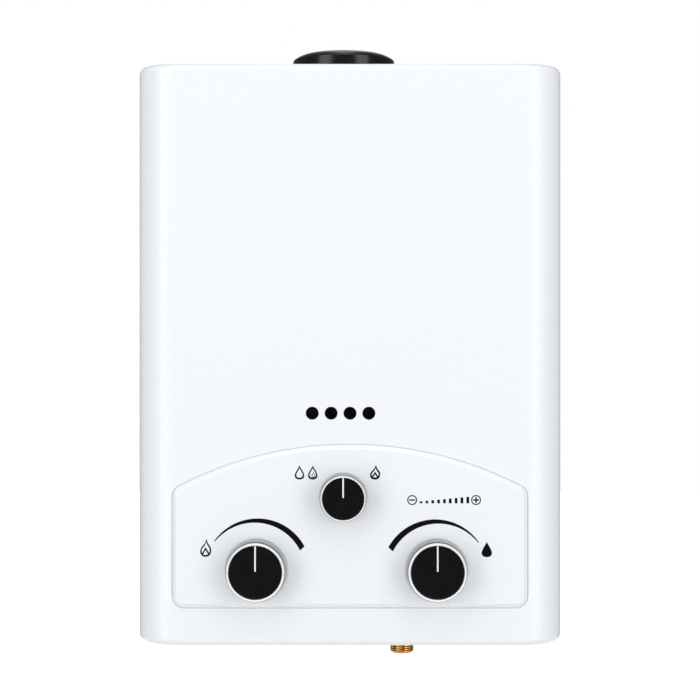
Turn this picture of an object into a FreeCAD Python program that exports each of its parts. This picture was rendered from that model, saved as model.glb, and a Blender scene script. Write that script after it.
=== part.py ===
"""Wall-hung propane water heater, as an assembly of separate pieces. Millimetres, +Z up.

The origin is the centre of the four wall-screw holes, in the plane of the wall. +X is to the
user's right and -Y is towards the user. Heights named RISE count from the bottom of the case.
"""

import FreeCAD
import Part
import math
import os

# --- case -----------------------------------------------------------------------------------------
CASE_W = 273.0
CASE_H = 370.0
CASE_D = 124.0  # wall to flat front face
COVER_T = 0.8  # sheet of the front cover
BEND_R = 26.0  # upright front bends
EDGE_R = 5.0  # rolled top and bottom edges
RIM_SIDE = 14.0  # turned-in rims, left and right
RIM_TOP = 22.0  # turned-in top rim at the front
RIM_BOTTOM = 9.0  # turned-in bottom rim at the front
RIM_CORNER_R = 12.0
CHASSIS_T = 1.0  # sheet of back, top and bottom plates
FIT_GAP = 0.4  # between nested sheets
TOUCH_GAP = 0.1  # between pieces that are pushed or screwed together

# --- raised control panel -------------------------------------------------------------------------
PANEL_W = 226.6
PANEL_RISE = 23.5
PANEL_H = 104.6  # to the crown of the arch
PANEL_ARCH_R = 237.0
PANEL_CORNER_R = 8.2
EMBOSS = 2.2
BEVEL = 3.2
SIGHT_HOLE_R = 3.95
SIGHT_PITCH = 12.0
SIGHT_COUNT = 4
SIGHT_X = -6.0
SIGHT_RISE = 147.5

# --- knobs and spindles ---------------------------------------------------------------------------
SIDE_KNOB_RISE = 48.5
GAS_KNOB_X = -59.4
TEMP_KNOB_X = 54.9
SEASON_KNOB_X = -4.3
SEASON_KNOB_RISE = 94.7
SIDE_BASE_R = 20.0
SIDE_FRONT_R = 19.0
SIDE_KNOB_H = 14.0
SIDE_RING = 2.15  # bright ring round the face insert
SEASON_BASE_R = 15.4
SEASON_FRONT_R = 14.7
SEASON_KNOB_H = 14.0
SEASON_RING = 1.45
KNOB_GAP = 0.6  # knob skirt to panel
KNOB_WALL = 2.0
KNOB_RING_DEPTH = 4.5  # smooth band in front of the knurl
RING_BEVEL = 0.6  # share of the ring's width that slopes
KNURL_COUNT = 64
KNURL_DEPTH = 0.35
INSERT_T = 1.5
POINTER_W = 1.35
POINTER_DEPTH = 0.3
HUB_R = 6.0
HUB_INSIDE = 5.0  # how far the hub reaches through the panel
HUB_HOLE_R = 8.0
SPINDLE_R = 3.0
SPINDLE_FLAT = 0.8  # depth of the D flat
RUN_GAP = 0.05  # radial running clearance

# --- wall plate -----------------------------------------------------------------------------------
FLANGE = 14.0  # side flanges of the back plate
WALL_HOLE_R = 3.25
WALL_HOLE_DX = 236.0
WALL_HOLE_DZ = 330.0
KEYHOLE_R = 5.5
KEYHOLE_SLOT_R = 2.75
KEYHOLE_SLOT = 10.0
KEYHOLE_DROP = 24.0  # below the top of the case
RIB_X = 40.0
RIB_W = 9.0
RIB_DEPTH = 2.5
RIB_END_GAP = 80.0  # ribs end this far inside the case
VENT_W = 34.0
VENT_H = 4.0
VENT_PITCH = 11.0
VENT_ROWS = 5
VENT_X = 26.0
VENT_RISE = 34.0
TOP_SLOT_W = 4.0
TOP_SLOT_L = 44.0
TOP_SLOT_PITCH = 11.0
TOP_SLOTS = 5
TOP_SLOT_X = 58.0
TAB = 12.0  # flanges that join top and bottom plates to the back
TAB_SCREW_X = 70.0
FLOOR_SLOTS = 3

# --- flue -----------------------------------------------------------------------------------------
FLUE_X = -4.2
FLUE_Y = -58.0
FOOT_R = 34.4
DOME_R = 33.2
DOME_H = 5.8  # rounded shoulder below the crown
CROWN_R = 25.3
BORE_R = 23.0
COLLAR_H = 14.3  # above the top of the case
COLLAR_T = 1.2
COLLAR_FLANGE_R = 42.0
SPIGOT = 13.0
HOOD_T = 0.8
HOOD_SKIRT = 8.0
HOOD_SLOPE_H = 36.0
HOOD_TOP_W = 60.0

# --- heat exchanger -------------------------------------------------------------------------------
CORE_X = -4.3
CORE_Y = -58.0
SHELL_W = 170.0
SHELL_D = 76.0
SHELL_RISE = 158.0
SHELL_DROP = 68.0  # top of the chamber below the top of the case
SHELL_T = 0.8
SHELL_CORNER_R = 8.0
FIN_T = 0.5
FIN_PITCH = 4.2
FIN_COUNT = 38
FIN_H = 32.0
FIN_DROP = 34.0  # bottom of the fins below the top of the chamber
FIN_TUBE_R = 7.0
FIN_TUBE_WALL = 0.9
FIN_TUBE_PITCH = 24.0
FIN_TUBE_STUB = 6.0
COIL_R = 6.0
COIL_WALL = 0.9
UNION_WALL = 1.6  # wall of the bosses that the pipes seat on
COIL_RISE = 28.0  # start of the coil above the bottom of the chamber
COIL_CLIMB = 8.0  # rise of the coil per side of the chamber
HOT_PIPE_OUT = 20.7  # the hot pipe stands this far off the chamber

# --- burner ---------------------------------------------------------------------------------------
BAR_COUNT = 6
BAR_PITCH = 25.0
BAR_W = 12.0
BAR_RISE = 107.0
BAR_H = 35.0
BAR_FRONT_Y = -96.0
BAR_BACK_Y = -26.0
MIXER_H = 14.0
NECK_D = 22.0  # back part, where the mixing tube turns up into the head
HEAD_H = 16.0
PORT_W = 1.2
PORT_HALF = 3.6  # half length of a flame slot
PORT_DEPTH = 5.0
PORT_COUNT = 16
NOZZLE_R = 2.6
MOUTH_R = 4.8
FRAME_T = 1.0
FRAME_SHELF = 8.0
FRAME_FOOT = 16.0
MANIFOLD_S = 12.0
MANIFOLD_Y = -108.0

# --- gas and water valves -------------------------------------------------------------------------
VALVE_GAP = 0.8  # battery box to the valves behind it
VALVE_HALF = 16.0
GAS_BODY_X0 = -86.0
GAS_BODY_X1 = 36.0
GAS_INLET_X = 34.7
GAS_INLET_Y = -62.0
INLET_BOSS_R = 9.5
INLET_BORE_R = 5.0
INLET_BOSS_DROP = 34.0  # from the valve axis
CHANNEL_R = 2.5  # gas channel along the bottom edge of the body
CHANNEL_FORWARD = 10.5
CHANNEL_DROP = 13.5
CHAMBER_R = 12.0
CHAMBER_X0 = -48.0
SEAT_X = -24.0
SEAT_T = 3.0
SEAT_R = 6.0
PASSAGE_R = 4.5
SAFETY_SEAT_X = -75.0
SAFETY_CHAMBER_R = 13.5
GUIDE_T = 5.0
DISC_R = 9.5
DISC_T = 3.8
ROD_R = 2.0
ROD_COLLAR_R = 4.2
ROD_COLLAR_T = 2.0
ROD_PLATE_R = 16.0
ROD_PLATE_T = 1.6
ROTOR_R = 7.0
ROTOR_INSET = 2.0  # front of a rotor behind the front of its valve
GAS_ROTOR_PAST = 8.0  # back of the gas cock past the valve axis
BOSS_R = 8.9
BOSS_Y = -88.0
GLAND_T = 6.0
PORT_R = 2.5
DISTRIBUTOR_TOP = 10.0  # above the season spindle
DISTRIBUTOR_LOW = 11.0  # below the season spindle
DISTRIBUTOR_HALF = 12.0
DISTRIBUTOR_R = 5.0  # passage from the gas valve
DISTRIBUTOR_OUT_R = 4.0  # passage to the manifold
SEASON_BORE_L = 29.0
SEASON_ROTOR_L = 26.0  # back of the rotor behind the casting's front
SEASON_PORT = 16.0  # port behind the casting's front
FLOW_ROTOR_L = 9.5  # back of the flow spindle behind the water valve's front
FLOW_PORT = 6.0
BRACKET_X0 = -40.0
BRACKET_X1 = 12.0
BRACKET_T = 1.5
BRACKET_H = 40.0
GLAND_R = 8.0
WATER_X0 = 46.0
WATER_X1 = 80.0
WATER_HALF = 17.0
FLANGE_X1 = 91.3
DIAPHRAGM_T = 1.0
CHAMBER_DISC_R = 31.0
WATER_CAVITY_R = 24.0
COVER_DEPTH = 11.0
COVER_FLANGE_T = 4.0
CLAMP_SCREWS = 5
SOLENOID_R = 13.0
SOLENOID_L = 34.0
PLUNGER_R = 4.0
PLUNGER_L = 18.5
PLUNGER_DISC_T = 2.4
SWITCH_L = 17.0
SWITCH_H = 10.0
SWITCH_D = 10.0
LEVER_T = 1.0
LEVER_X = 42.1  # resting place of the switch lever
LEVER_PIN_R = 0.6
LEVER_RISE = 20.0  # pin above the valve axis
GAS_THREAD_R = 7.94
GAS_THREAD_L = 16.1
GAS_NOSE = 1.1  # chamfer at the end of the thread
GAS_BELOW = 15.4  # end of the gas fitting below the case
WATER_THREAD_R = 10.48
WATER_THREAD_L = 13.0
WATER_BELOW = 14.0
COLD_X = 64.0
HOT_X = -92.0
COLD_RISE = 9.0  # top of the cold inlet above the valve axis
OUTLET_X = 68.0
DRAIN_X = 60.0
DRAIN_R = 5.0

# --- ignition and battery -------------------------------------------------------------------------
ELECTRODE_X = 30.0
ELECTRODE_PITCH = 14.0
ELECTRODE_RISE = 151.0
CERAMIC_R = 3.2
CERAMIC_L = 24.0
ELECTRODE_R = 0.8
ELECTRODE_STUB = 4.0
TOWER_R = 3.4
TOWER_L = 6.0
SOCKET_L = 4.0
LEAD_PITCH = 5.0
IGNITER_W = 34.0
IGNITER_D = 22.0
IGNITER_H = 60.0
IGNITER_GAP = 5.7  # from the cover's side wall
IGNITER_RISE = 104.0
LEAD_R = 1.6
THIN_LEAD_R = 1.0
LEAD_BEND = 14.0  # largest bend of a lead
SPRING_STEPS = 10  # runs in one turn of a spring
CELL_R = 17.0
CELL_L = 61.0
BOX_WALL = 1.6
BOX_X0 = -68.0
EAR = 8.0
EAR_T = 1.5
LID_T = 2.0
LID_PIN_R = 1.5
GRIP_HALF = 16.0
SCREW_R = 1.7
SCREW_HEAD_R = 3.4
SCREW_HEAD_T = 1.8
COVER_SCREW_L = 4.5
COLLAR_SCREW_L = 3.5

# --- places worked out from the sizes -------------------------------------------------------------
BOTTOM = -CASE_H / 2
TOP = CASE_H / 2
FRONT = -CASE_D
PANEL_FACE = FRONT - EMBOSS
COVER_BACK = -FIT_GAP
SIDE_Z = BOTTOM + SIDE_KNOB_RISE
SEASON_Z = BOTTOM + SEASON_KNOB_RISE
TOP_PLATE_Z = TOP - COVER_T - FIT_GAP  # upper face of the top plate
BOTTOM_PLATE_Z = BOTTOM + COVER_T + FIT_GAP  # under face of the bottom plate
PLATE_HALF_W = CASE_W / 2 - COVER_T - FIT_GAP
SHELL_Z0 = BOTTOM + SHELL_RISE
SHELL_Z1 = TOP - SHELL_DROP
FIN_Z0 = SHELL_Z1 - FIN_DROP
TUBE_Z = FIN_Z0 + FIN_H / 2
RIB_LENGTH = CASE_H - 2 * RIB_END_GAP
HOT_DROP_X = CORE_X - SHELL_W / 2 - HOT_PIPE_OUT
IGNITER_X = CASE_W / 2 - COVER_T - IGNITER_GAP - IGNITER_W  # left side of the igniter
BAR_Z = BOTTOM + BAR_RISE
MIXER_Z = BAR_Z + MIXER_H / 2
CHASSIS_Y = -CHASSIS_T - TOUCH_GAP  # where pieces meet the back plate
FLOOR_Z = BOTTOM_PLATE_Z + CHASSIS_T + TOUCH_GAP  # where pieces meet the bottom plate
COIL_BEND = SHELL_CORNER_R + COIL_R + FIT_GAP
BOX_FRONT = FRONT + RIM_BOTTOM + FIT_GAP
BOX_BACK = BOX_FRONT + 2 * CELL_R + 2 * BOX_WALL + 1.6
BOX_X1 = BOX_X0 + 2 * CELL_L + 2 * BOX_WALL + 6.0
BOX_Z0 = BOTTOM
BOX_Z1 = BOX_Z0 + LID_T + 2 * CELL_R + BOX_WALL + 1.2
VALVE_Y = BOX_BACK + VALVE_GAP + WATER_HALF
WATER_BACK_Y = VALVE_Y + WATER_HALF
WATER_FITTING_Y = WATER_BACK_Y + 12.0
MANIFOLD_FRONT = MANIFOLD_Y - MANIFOLD_S / 2
LEVER_Z = SIDE_Z + LEVER_RISE
COLLAR_X = LEVER_X + LEVER_T + TOUCH_GAP  # collar on the push rod, beside the switch lever
CELL_Y = (BOX_FRONT + BOX_BACK) / 2
CELL_Z = BOX_Z0 + LID_T + CELL_R + 0.6

RUN_SHARE = 0.48  # part of a run that the bend at one end may use
END_SHARE = 0.99  # the same for a first or last run, which has one bend only
X = FreeCAD.Vector(1, 0, 0)
Y = FreeCAD.Vector(0, 1, 0)
Z = FreeCAD.Vector(0, 0, 1)


# --- helpers --------------------------------------------------------------------------------------
def point(x, y, z):
    """A point of the model."""
    return FreeCAD.Vector(x, y, z)


def block(x0, x1, y0, y1, z0, z1):
    """A box between two corners."""
    return Part.makeBox(x1 - x0, y1 - y0, z1 - z0, point(x0, y0, z0))


def rod(start, axis, length, radius):
    """A round bar from start along axis; a negative length runs the other way."""
    direction = axis if length > 0 else -axis
    return Part.makeCylinder(radius, abs(length), start, direction)


def sleeve(start, axis, length, outer, inner):
    """A round tube."""
    return rod(start, axis, length, outer).cut(rod(start, axis, length, inner))


def cone(start, axis, length, r0, r1):
    """A tapered round bar, r0 at start."""
    return Part.makeCone(r0, r1, length, start, axis)


def join(first, *others):
    """One solid from pieces that overlap or touch."""
    return first.fuse(list(others)).removeSplitter()


def prism(outline, way):
    """A closed outline of points swept along a vector."""
    wire = Part.makePolygon(list(outline) + [outline[0]])
    return Part.Face(wire).extrude(way)


def hexagon(start, axis, length, across):
    """A hexagonal bar with the given size across its flats."""
    radius = across / math.sqrt(3)
    side = X if abs(axis.dot(X)) < 0.5 else Y
    other = axis.cross(side)
    corners = []
    for i in range(6):
        a = math.radians(60 * i)
        corners.append(start + side * (radius * math.cos(a)) + other * (radius * math.sin(a)))
    return prism(corners, axis * length)


def slot(centre, length, width, along, through, depth):
    """A round-ended slot, as a cutter centred on a point."""
    half = (length - width) / 2
    across = through.cross(along)
    start = centre - through * (depth / 2)
    a, b = start - along * half, start + along * half
    w = across * (width / 2)
    web = prism([a - w, b - w, b + w, a + w], through * depth)
    ends = [rod(p, through, depth, width / 2) for p in (a, b)]
    return web.fuse(ends)


def turned(edges, centre):
    """A solid of revolution about the upright axis through centre, from edges in the XZ plane."""
    face = Part.Face(Part.Wire(edges))
    face.translate(centre)
    return face.revolve(centre, Z, 360)


def bent_wire(points, bend):
    """Straight runs joined by tangent arcs, as a wire. An arc has the radius bend where its runs are
    long enough, and otherwise the largest that fits."""
    edges = []
    last = points[0]
    ends = len(points) - 2
    for i in range(1, ends + 1):
        before, corner, after = points[i - 1], points[i], points[i + 1]
        u, v = corner - before, after - corner
        room_before = u.Length * (END_SHARE if i == 1 else RUN_SHARE)
        room_after = v.Length * (END_SHARE if i == ends else RUN_SHARE)
        u.normalize()
        v.normalize()
        half = u.getAngle(v) / 2
        radius = min(bend, min(room_before, room_after) / math.tan(half))
        back = radius * math.tan(half)
        start, end = corner - u * back, corner + v * back
        inward = (v - u).normalize()
        middle = corner + inward * (radius / math.cos(half) - radius)
        edges.append(Part.LineSegment(last, start).toShape())
        edges.append(Part.Arc(start, middle, end).toShape())
        last = end
    edges.append(Part.LineSegment(last, points[-1]).toShape())
    return Part.Wire(edges)


def swept(path, radius):
    """A round bar along a wire."""
    first = path.Edges[0]
    start = first.valueAt(first.FirstParameter)
    way = first.tangentAt(first.FirstParameter)
    ring = Part.Wire(Part.makeCircle(radius, start, way))
    return path.makePipeShell([ring], True, False)


def pipe(points, bend, outer, wall):
    """A bent tube with a bore."""
    path = bent_wire(points, bend)
    return swept(path, outer).cut(swept(path, outer - wall))


def lead(points, bend, radius):
    """A solid insulated wire."""
    return swept(bent_wire(points, bend), radius)


def drilled(shape, seats, gap):
    """The shape with a screw hole at each seat, gap wider in radius than the screws."""
    holes = [rod(seat - way, way, length + 1 + 2 * TOUCH_GAP, SCREW_R + gap) for seat, way, length in seats]
    return shape.cut(holes)


def coil_spring(start, axis, length, radius, wire, turns):
    """A round-wire helical spring that just fits between start and start + axis * length."""
    pitch = (length - 2 * wire) / turns
    corner_r = radius / math.sqrt(math.cos(math.pi / SPRING_STEPS))
    points = []
    for step in range(round(SPRING_STEPS * turns) + 1):
        turn = step / SPRING_STEPS
        a = 2 * math.pi * turn
        points.append(point(corner_r * math.cos(a), corner_r * math.sin(a), wire + pitch * turn))
    spring = lead(points, radius, wire)
    spring.Placement = FreeCAD.Placement(start, FreeCAD.Rotation(Z, axis)).multiply(spring.Placement)
    return spring


def circles(shape):
    """The full-circle edges of a shape."""
    return [e for e in shape.Edges if len(e.Vertexes) == 1]


def upright_edges(shape):
    """The edges of a shape that stand upright."""
    return [e for e in shape.Edges if e.BoundBox.XLength < 1e-6 and e.BoundBox.YLength < 1e-6]


def screw(seat, way, length):
    """A pan-head screw whose head sits on seat and whose shank runs along way."""
    top = seat - way * SCREW_HEAD_T
    head = rod(seat, -way, SCREW_HEAD_T, SCREW_HEAD_R)
    rim = [e for e in circles(head) if (e.Curve.Center - top).Length < 0.01]
    head = head.makeFillet(SCREW_HEAD_T * 0.45, rim)
    body = head.fuse(rod(seat, way, length, SCREW_R))
    side = Z if abs(way.dot(Z)) < 0.5 else X
    for a, b in ((side, way.cross(side)), (way.cross(side), side)):
        w, d = a * (SCREW_HEAD_R * 0.55), b * 0.45
        recess = prism([top - w - d, top + w - d, top + w + d, top - w + d], way * (SCREW_HEAD_T * 0.5))
        body = body.cut(recess)
    return body


# --- case -----------------------------------------------------------------------------------------
def case_plan(inset, z):
    """The case's outline seen from above: square at the wall, rounded at the front."""
    half, front, bend = CASE_W / 2 - inset, FRONT + inset, BEND_R - inset
    low = bend * (1 - math.sqrt(0.5))
    left = [point(-half, COVER_BACK, z), point(-half, front + bend, z)]
    right = [point(half, front + bend, z), point(half, COVER_BACK, z)]
    a, b = point(-half + bend, front, z), point(half - bend, front, z)
    return Part.Wire([
        Part.LineSegment(*left).toShape(),
        Part.Arc(left[1], point(-half + low, front + low, z), a).toShape(),
        Part.LineSegment(a, b).toShape(),
        Part.Arc(b, point(half - low, front + low, z), right[0]).toShape(),
        Part.LineSegment(*right).toShape(),
        Part.LineSegment(right[1], left[0]).toShape(),
    ])


def case_block(inset, edge_r):
    """The filled case shape, drawn in by inset, with its rolled top and bottom edges."""
    z0, z1 = BOTTOM + inset, TOP - inset
    solid = Part.Face(case_plan(inset, z0)).extrude(Z * (z1 - z0))
    rolled = []
    for edge in solid.Edges:
        box = edge.BoundBox
        level = box.ZLength < 1e-6
        at_wall = box.YMin > COVER_BACK - 1e-6
        if level and not at_wall:
            rolled.append(edge)
    return solid.makeFillet(edge_r, rolled)


def panel_outline(inset, y):
    """The raised panel's arched outline, drawn in by inset, at depth y."""
    half = PANEL_W / 2 - inset
    low = BOTTOM + PANEL_RISE + inset
    crown = BOTTOM + PANEL_RISE + PANEL_H - inset
    arch, corner = PANEL_ARCH_R - inset, PANEL_CORNER_R - inset
    hub = crown - arch  # height of the arch's centre
    cx = half - corner
    cz = hub + math.sqrt((arch - corner) ** 2 - cx**2)
    scale = arch / (arch - corner)
    tx, tz = cx * scale, hub + (cz - hub) * scale  # where corner and arch meet
    lean = math.atan2(cz - hub, cx) / 2
    mx, mz = cx + corner * math.cos(lean), cz + corner * math.sin(lean)
    low_mid = corner * (1 - math.sqrt(0.5))
    p = {
        "left": point(-half, y, cz), "left_low": point(-half, y, low + corner),
        "low_left": point(-cx, y, low), "low_right": point(cx, y, low),
        "right_low": point(half, y, low + corner), "right": point(half, y, cz),
        "arch_right": point(tx, y, tz), "arch_left": point(-tx, y, tz),
    }
    return Part.Wire([
        Part.LineSegment(p["left"], p["left_low"]).toShape(),
        Part.Arc(p["left_low"], point(-half + low_mid, y, low + low_mid), p["low_left"]).toShape(),
        Part.LineSegment(p["low_left"], p["low_right"]).toShape(),
        Part.Arc(p["low_right"], point(half - low_mid, y, low + low_mid), p["right_low"]).toShape(),
        Part.LineSegment(p["right_low"], p["right"]).toShape(),
        Part.Arc(p["right"], point(mx, y, mz), p["arch_right"]).toShape(),
        Part.Arc(p["arch_right"], point(0, y, crown), p["arch_left"]).toShape(),
        Part.Arc(p["arch_left"], point(-mx, y, mz), p["left"]).toShape(),
    ])


def panel_block(inset, root):
    """The raised panel as a bevelled block that starts root behind the front face."""
    face = PANEL_FACE + inset
    base = Part.Face(panel_outline(inset, FRONT + inset)).extrude(Y * root)
    outlines = [panel_outline(inset, FRONT + inset), panel_outline(inset + BEVEL, face)]
    bevel = Part.makeLoft(outlines, True, True)
    front_edges = [e for e in bevel.Edges if e.BoundBox.YMax < face + 1e-6]
    bevel = bevel.makeFillet(BEVEL * 0.5, front_edges)
    return base.fuse(bevel)


def front_cover():
    """Drawn sheet-steel cover: front, sides, turned-in rims, raised panel, sight and spindle holes."""
    outside = case_block(0, EDGE_R).fuse(panel_block(0, 2.0))
    inside = case_block(COVER_T, EDGE_R - COVER_T).fuse(panel_block(COVER_T, 2.0))
    cover = outside.cut(inside)
    half = CASE_W / 2 - RIM_SIDE
    for z, rim in ((BOTTOM, RIM_BOTTOM), (TOP, RIM_TOP)):
        front = FRONT + rim
        opening = block(-half, half, front, 1.0, z - 2 * EDGE_R, z + 2 * EDGE_R)
        corners = [e for e in upright_edges(opening) if e.BoundBox.YMax < front + 1]
        cover = cover.cut(opening.makeFillet(RIM_CORNER_R, corners))
    holes = []
    for i in range(SIGHT_COUNT):
        x = SIGHT_X + (i - (SIGHT_COUNT - 1) / 2) * SIGHT_PITCH
        holes.append(rod(point(x, FRONT - 1, BOTTOM + SIGHT_RISE), Y, 4, SIGHT_HOLE_R))
    for x, z in ((GAS_KNOB_X, SIDE_Z), (TEMP_KNOB_X, SIDE_Z), (SEASON_KNOB_X, SEASON_Z)):
        holes.append(rod(point(x, PANEL_FACE - 1, z), Y, EMBOSS + 4, HUB_HOLE_R))
    return drilled(cover.cut(holes), cover_screw_seats(), TOUCH_GAP)


def cover_screw_seats():
    """Side screws of the cover: seat, direction and length."""
    z = CASE_H * 0.36
    return [(point(side * CASE_W / 2, -FLANGE / 2, up * z), X * -side, COVER_SCREW_L)
            for side in (-1, 1) for up in (-1, 1)]


def tab_screw_seats():
    """Screws that hold the top and bottom plates to the back plate."""
    y = CHASSIS_Y - CHASSIS_T
    zs = (TOP_PLATE_Z - TAB * 0.6, BOTTOM_PLATE_Z + TAB * 0.6)
    return [(point(x, y, z), Y, 2 * CHASSIS_T - TOUCH_GAP) for x in (-TAB_SCREW_X, TAB_SCREW_X) for z in zs]


def back_plate():
    """Pressed back plate: wall holes, keyhole, ribs, air slots and side flanges."""
    z0, z1 = BOTTOM_PLATE_Z, TOP_PLATE_Z
    half = PLATE_HALF_W
    plate = block(-half, half, -CHASSIS_T, 0, z0, z1)
    corners = [e for e in plate.Edges if e.BoundBox.YLength > CHASSIS_T / 2]
    plate = plate.makeFillet(EDGE_R, corners)
    pieces = []
    for side in (-1, 1):
        x0, x1 = sorted((side * half, side * (half - CHASSIS_T)))
        pieces.append(block(x0, x1, -FLANGE, 0, z0 + 2 * EDGE_R, z1 - 2 * EDGE_R))
        pieces.append(block(side * RIB_X - RIB_W / 2, side * RIB_X + RIB_W / 2, -CHASSIS_T - RIB_DEPTH, 0,
                            -RIB_LENGTH / 2, RIB_LENGTH / 2))
    plate = join(plate, *pieces)
    cuts = []
    for side in (-1, 1):
        inner = RIB_W / 2 - CHASSIS_T
        cuts.append(block(side * RIB_X - inner, side * RIB_X + inner, -RIB_DEPTH, 1,
                          -RIB_LENGTH / 2 + CHASSIS_T, RIB_LENGTH / 2 - CHASSIS_T))
        for up in (-1, 1):
            cuts.append(rod(point(side * WALL_HOLE_DX / 2, -5, up * WALL_HOLE_DZ / 2), Y, 10, WALL_HOLE_R))
        for i in range(VENT_ROWS):
            centre = point(side * VENT_X, 0, BOTTOM + VENT_RISE + i * VENT_PITCH)
            cuts.append(slot(centre, VENT_W, VENT_H, X, Y, 6))
    key_z = TOP - KEYHOLE_DROP
    cuts.append(rod(point(0, -5, key_z), Y, 10, KEYHOLE_R))
    cuts.append(slot(point(0, 0, key_z + KEYHOLE_SLOT / 2), KEYHOLE_SLOT + 2 * KEYHOLE_SLOT_R,
                     2 * KEYHOLE_SLOT_R, Z, Y, 10))
    seats = (cover_screw_seats() + tab_screw_seats() + frame_screw_seats() + bracket_screw_seats()
             + igniter_screw_seats())
    return drilled(plate.cut(cuts), seats, RUN_GAP)


def chassis_lid(z, tab_way):
    """A flat chassis plate with its under face at z, and the tab that meets the back plate."""
    inset = EDGE_R + FIT_GAP
    body = Part.Face(case_plan(inset, z)).extrude(Z * CHASSIS_T)
    half = CASE_W / 2 - inset - EDGE_R
    body = body.cut(block(-CASE_W, CASE_W, CHASSIS_Y, 5, z - 1, z + CHASSIS_T + 1))
    root = z if tab_way > 0 else z + CHASSIS_T
    z0, z1 = sorted((root, root + tab_way * TAB))
    tab = block(-half, half, CHASSIS_Y - CHASSIS_T, CHASSIS_Y, z0, z1)
    return drilled(join(body, tab), tab_screw_seats(), TOUCH_GAP)


def top_plate():
    """Top of the chassis, round the flue, with vent slots."""
    plate = chassis_lid(TOP_PLATE_Z - CHASSIS_T, -1)
    cuts = [rod(point(FLUE_X, FLUE_Y, TOP_PLATE_Z - 3), Z, 6, BORE_R + COLLAR_T + HOOD_T + 1.2)]
    for side in (-1, 1):
        for i in range(TOP_SLOTS):
            centre = point(FLUE_X + side * (TOP_SLOT_X + i * TOP_SLOT_PITCH), FLUE_Y, TOP_PLATE_Z)
            cuts.append(slot(centre, TOP_SLOT_L, TOP_SLOT_W, Y, Z, 6))
    return drilled(plate.cut(cuts), collar_screw_seats(), RUN_GAP)


def bottom_plate():
    """Bottom of the chassis, with holes for the fittings, the drain plug and the battery box."""
    plate = chassis_lid(BOTTOM_PLATE_Z, 1)
    z = BOTTOM_PLATE_Z - 1
    cuts = [
        rod(point(GAS_INLET_X, GAS_INLET_Y, z), Z, 4, GAS_THREAD_R + 3.2),
        rod(point(COLD_X, WATER_FITTING_Y, z), Z, 4, WATER_THREAD_R + 1.5),
        rod(point(HOT_X, WATER_FITTING_Y, z), Z, 4, WATER_THREAD_R + 1.5),
        rod(point(DRAIN_X, VALVE_Y, z), Z, 4, DRAIN_R + 3.2),
        block(BOX_X0 - FIT_GAP, BOX_X1 + FIT_GAP, BOX_FRONT - FIT_GAP, BOX_BACK + FIT_GAP, z, z + 4),
    ]
    for i in range(FLOOR_SLOTS):
        x = DRAIN_X + 26 + i * TOP_SLOT_PITCH
        cuts.append(slot(point(x, VALVE_Y, z + 1), TOP_SLOT_L, TOP_SLOT_W, Y, Z, 6))
    return drilled(plate.cut(cuts), box_screw_seats(), RUN_GAP)


# --- flue and heat exchanger ----------------------------------------------------------------------
def collar_screw_seats():
    """Four screws that hold the flue collar down."""
    radius = (FOOT_R + COLLAR_FLANGE_R) / 2
    seats = []
    for i in range(4):
        a = math.radians(45 + 90 * i)
        spot = point(FLUE_X + radius * math.cos(a), FLUE_Y + radius * math.sin(a), TOP_PLATE_Z + COLLAR_T)
        seats.append((spot, -Z, COLLAR_SCREW_L))
    return seats


def flue_collar():
    """Pressed collar: flange, domed wall, rolled crown and a spigot down into the hood."""
    t, z0 = COLLAR_T, TOP_PLATE_Z
    z_top = TOP + COLLAR_H
    turn_r = CROWN_R - BORE_R  # the crown rolls over to the bore
    low, shoulder = z0 + t, z_top - DOME_H
    z_spigot = z0 - SPIGOT
    half = math.sqrt(0.5)

    def at(r, z):
        return point(r, 0, z)

    def arc(a, m, b):
        return Part.Arc(at(*a), at(*m), at(*b)).toShape()

    def line(a, b):
        return Part.LineSegment(at(*a), at(*b)).toShape()

    def dome(inset):
        wide, tall = DOME_R - CROWN_R - inset, DOME_H - inset
        return (DOME_R - inset, shoulder), (CROWN_R + wide * half, shoulder + tall * half), (CROWN_R, z_top - inset)

    diag, in_diag = turn_r * (1 - half), (turn_r - t) * (1 - half)
    outer, inner = dome(0), dome(t)
    edges = [
        line((FOOT_R - t, z0), (COLLAR_FLANGE_R, z0)),
        line((COLLAR_FLANGE_R, z0), (COLLAR_FLANGE_R, low)),
        line((COLLAR_FLANGE_R, low), (FOOT_R, low)),
        line((FOOT_R, low), outer[0]),
        arc(*outer),
        arc((CROWN_R, z_top), (BORE_R + diag, z_top - diag), (BORE_R, z_top - turn_r)),
        line((BORE_R, z_top - turn_r), (BORE_R, z_spigot)),
        line((BORE_R, z_spigot), (BORE_R + t, z_spigot)),
        line((BORE_R + t, z_spigot), (BORE_R + t, z_top - turn_r)),
        arc((BORE_R + t, z_top - turn_r), (BORE_R + t + in_diag, z_top - t - in_diag),
            (CROWN_R, z_top - t)),
        arc(inner[2], inner[1], inner[0]),
        line(inner[0], (FOOT_R - t, z0)),
    ]
    collar = turned(edges, point(FLUE_X, FLUE_Y, 0))
    return drilled(collar, collar_screw_seats(), TOUCH_GAP)


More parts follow.
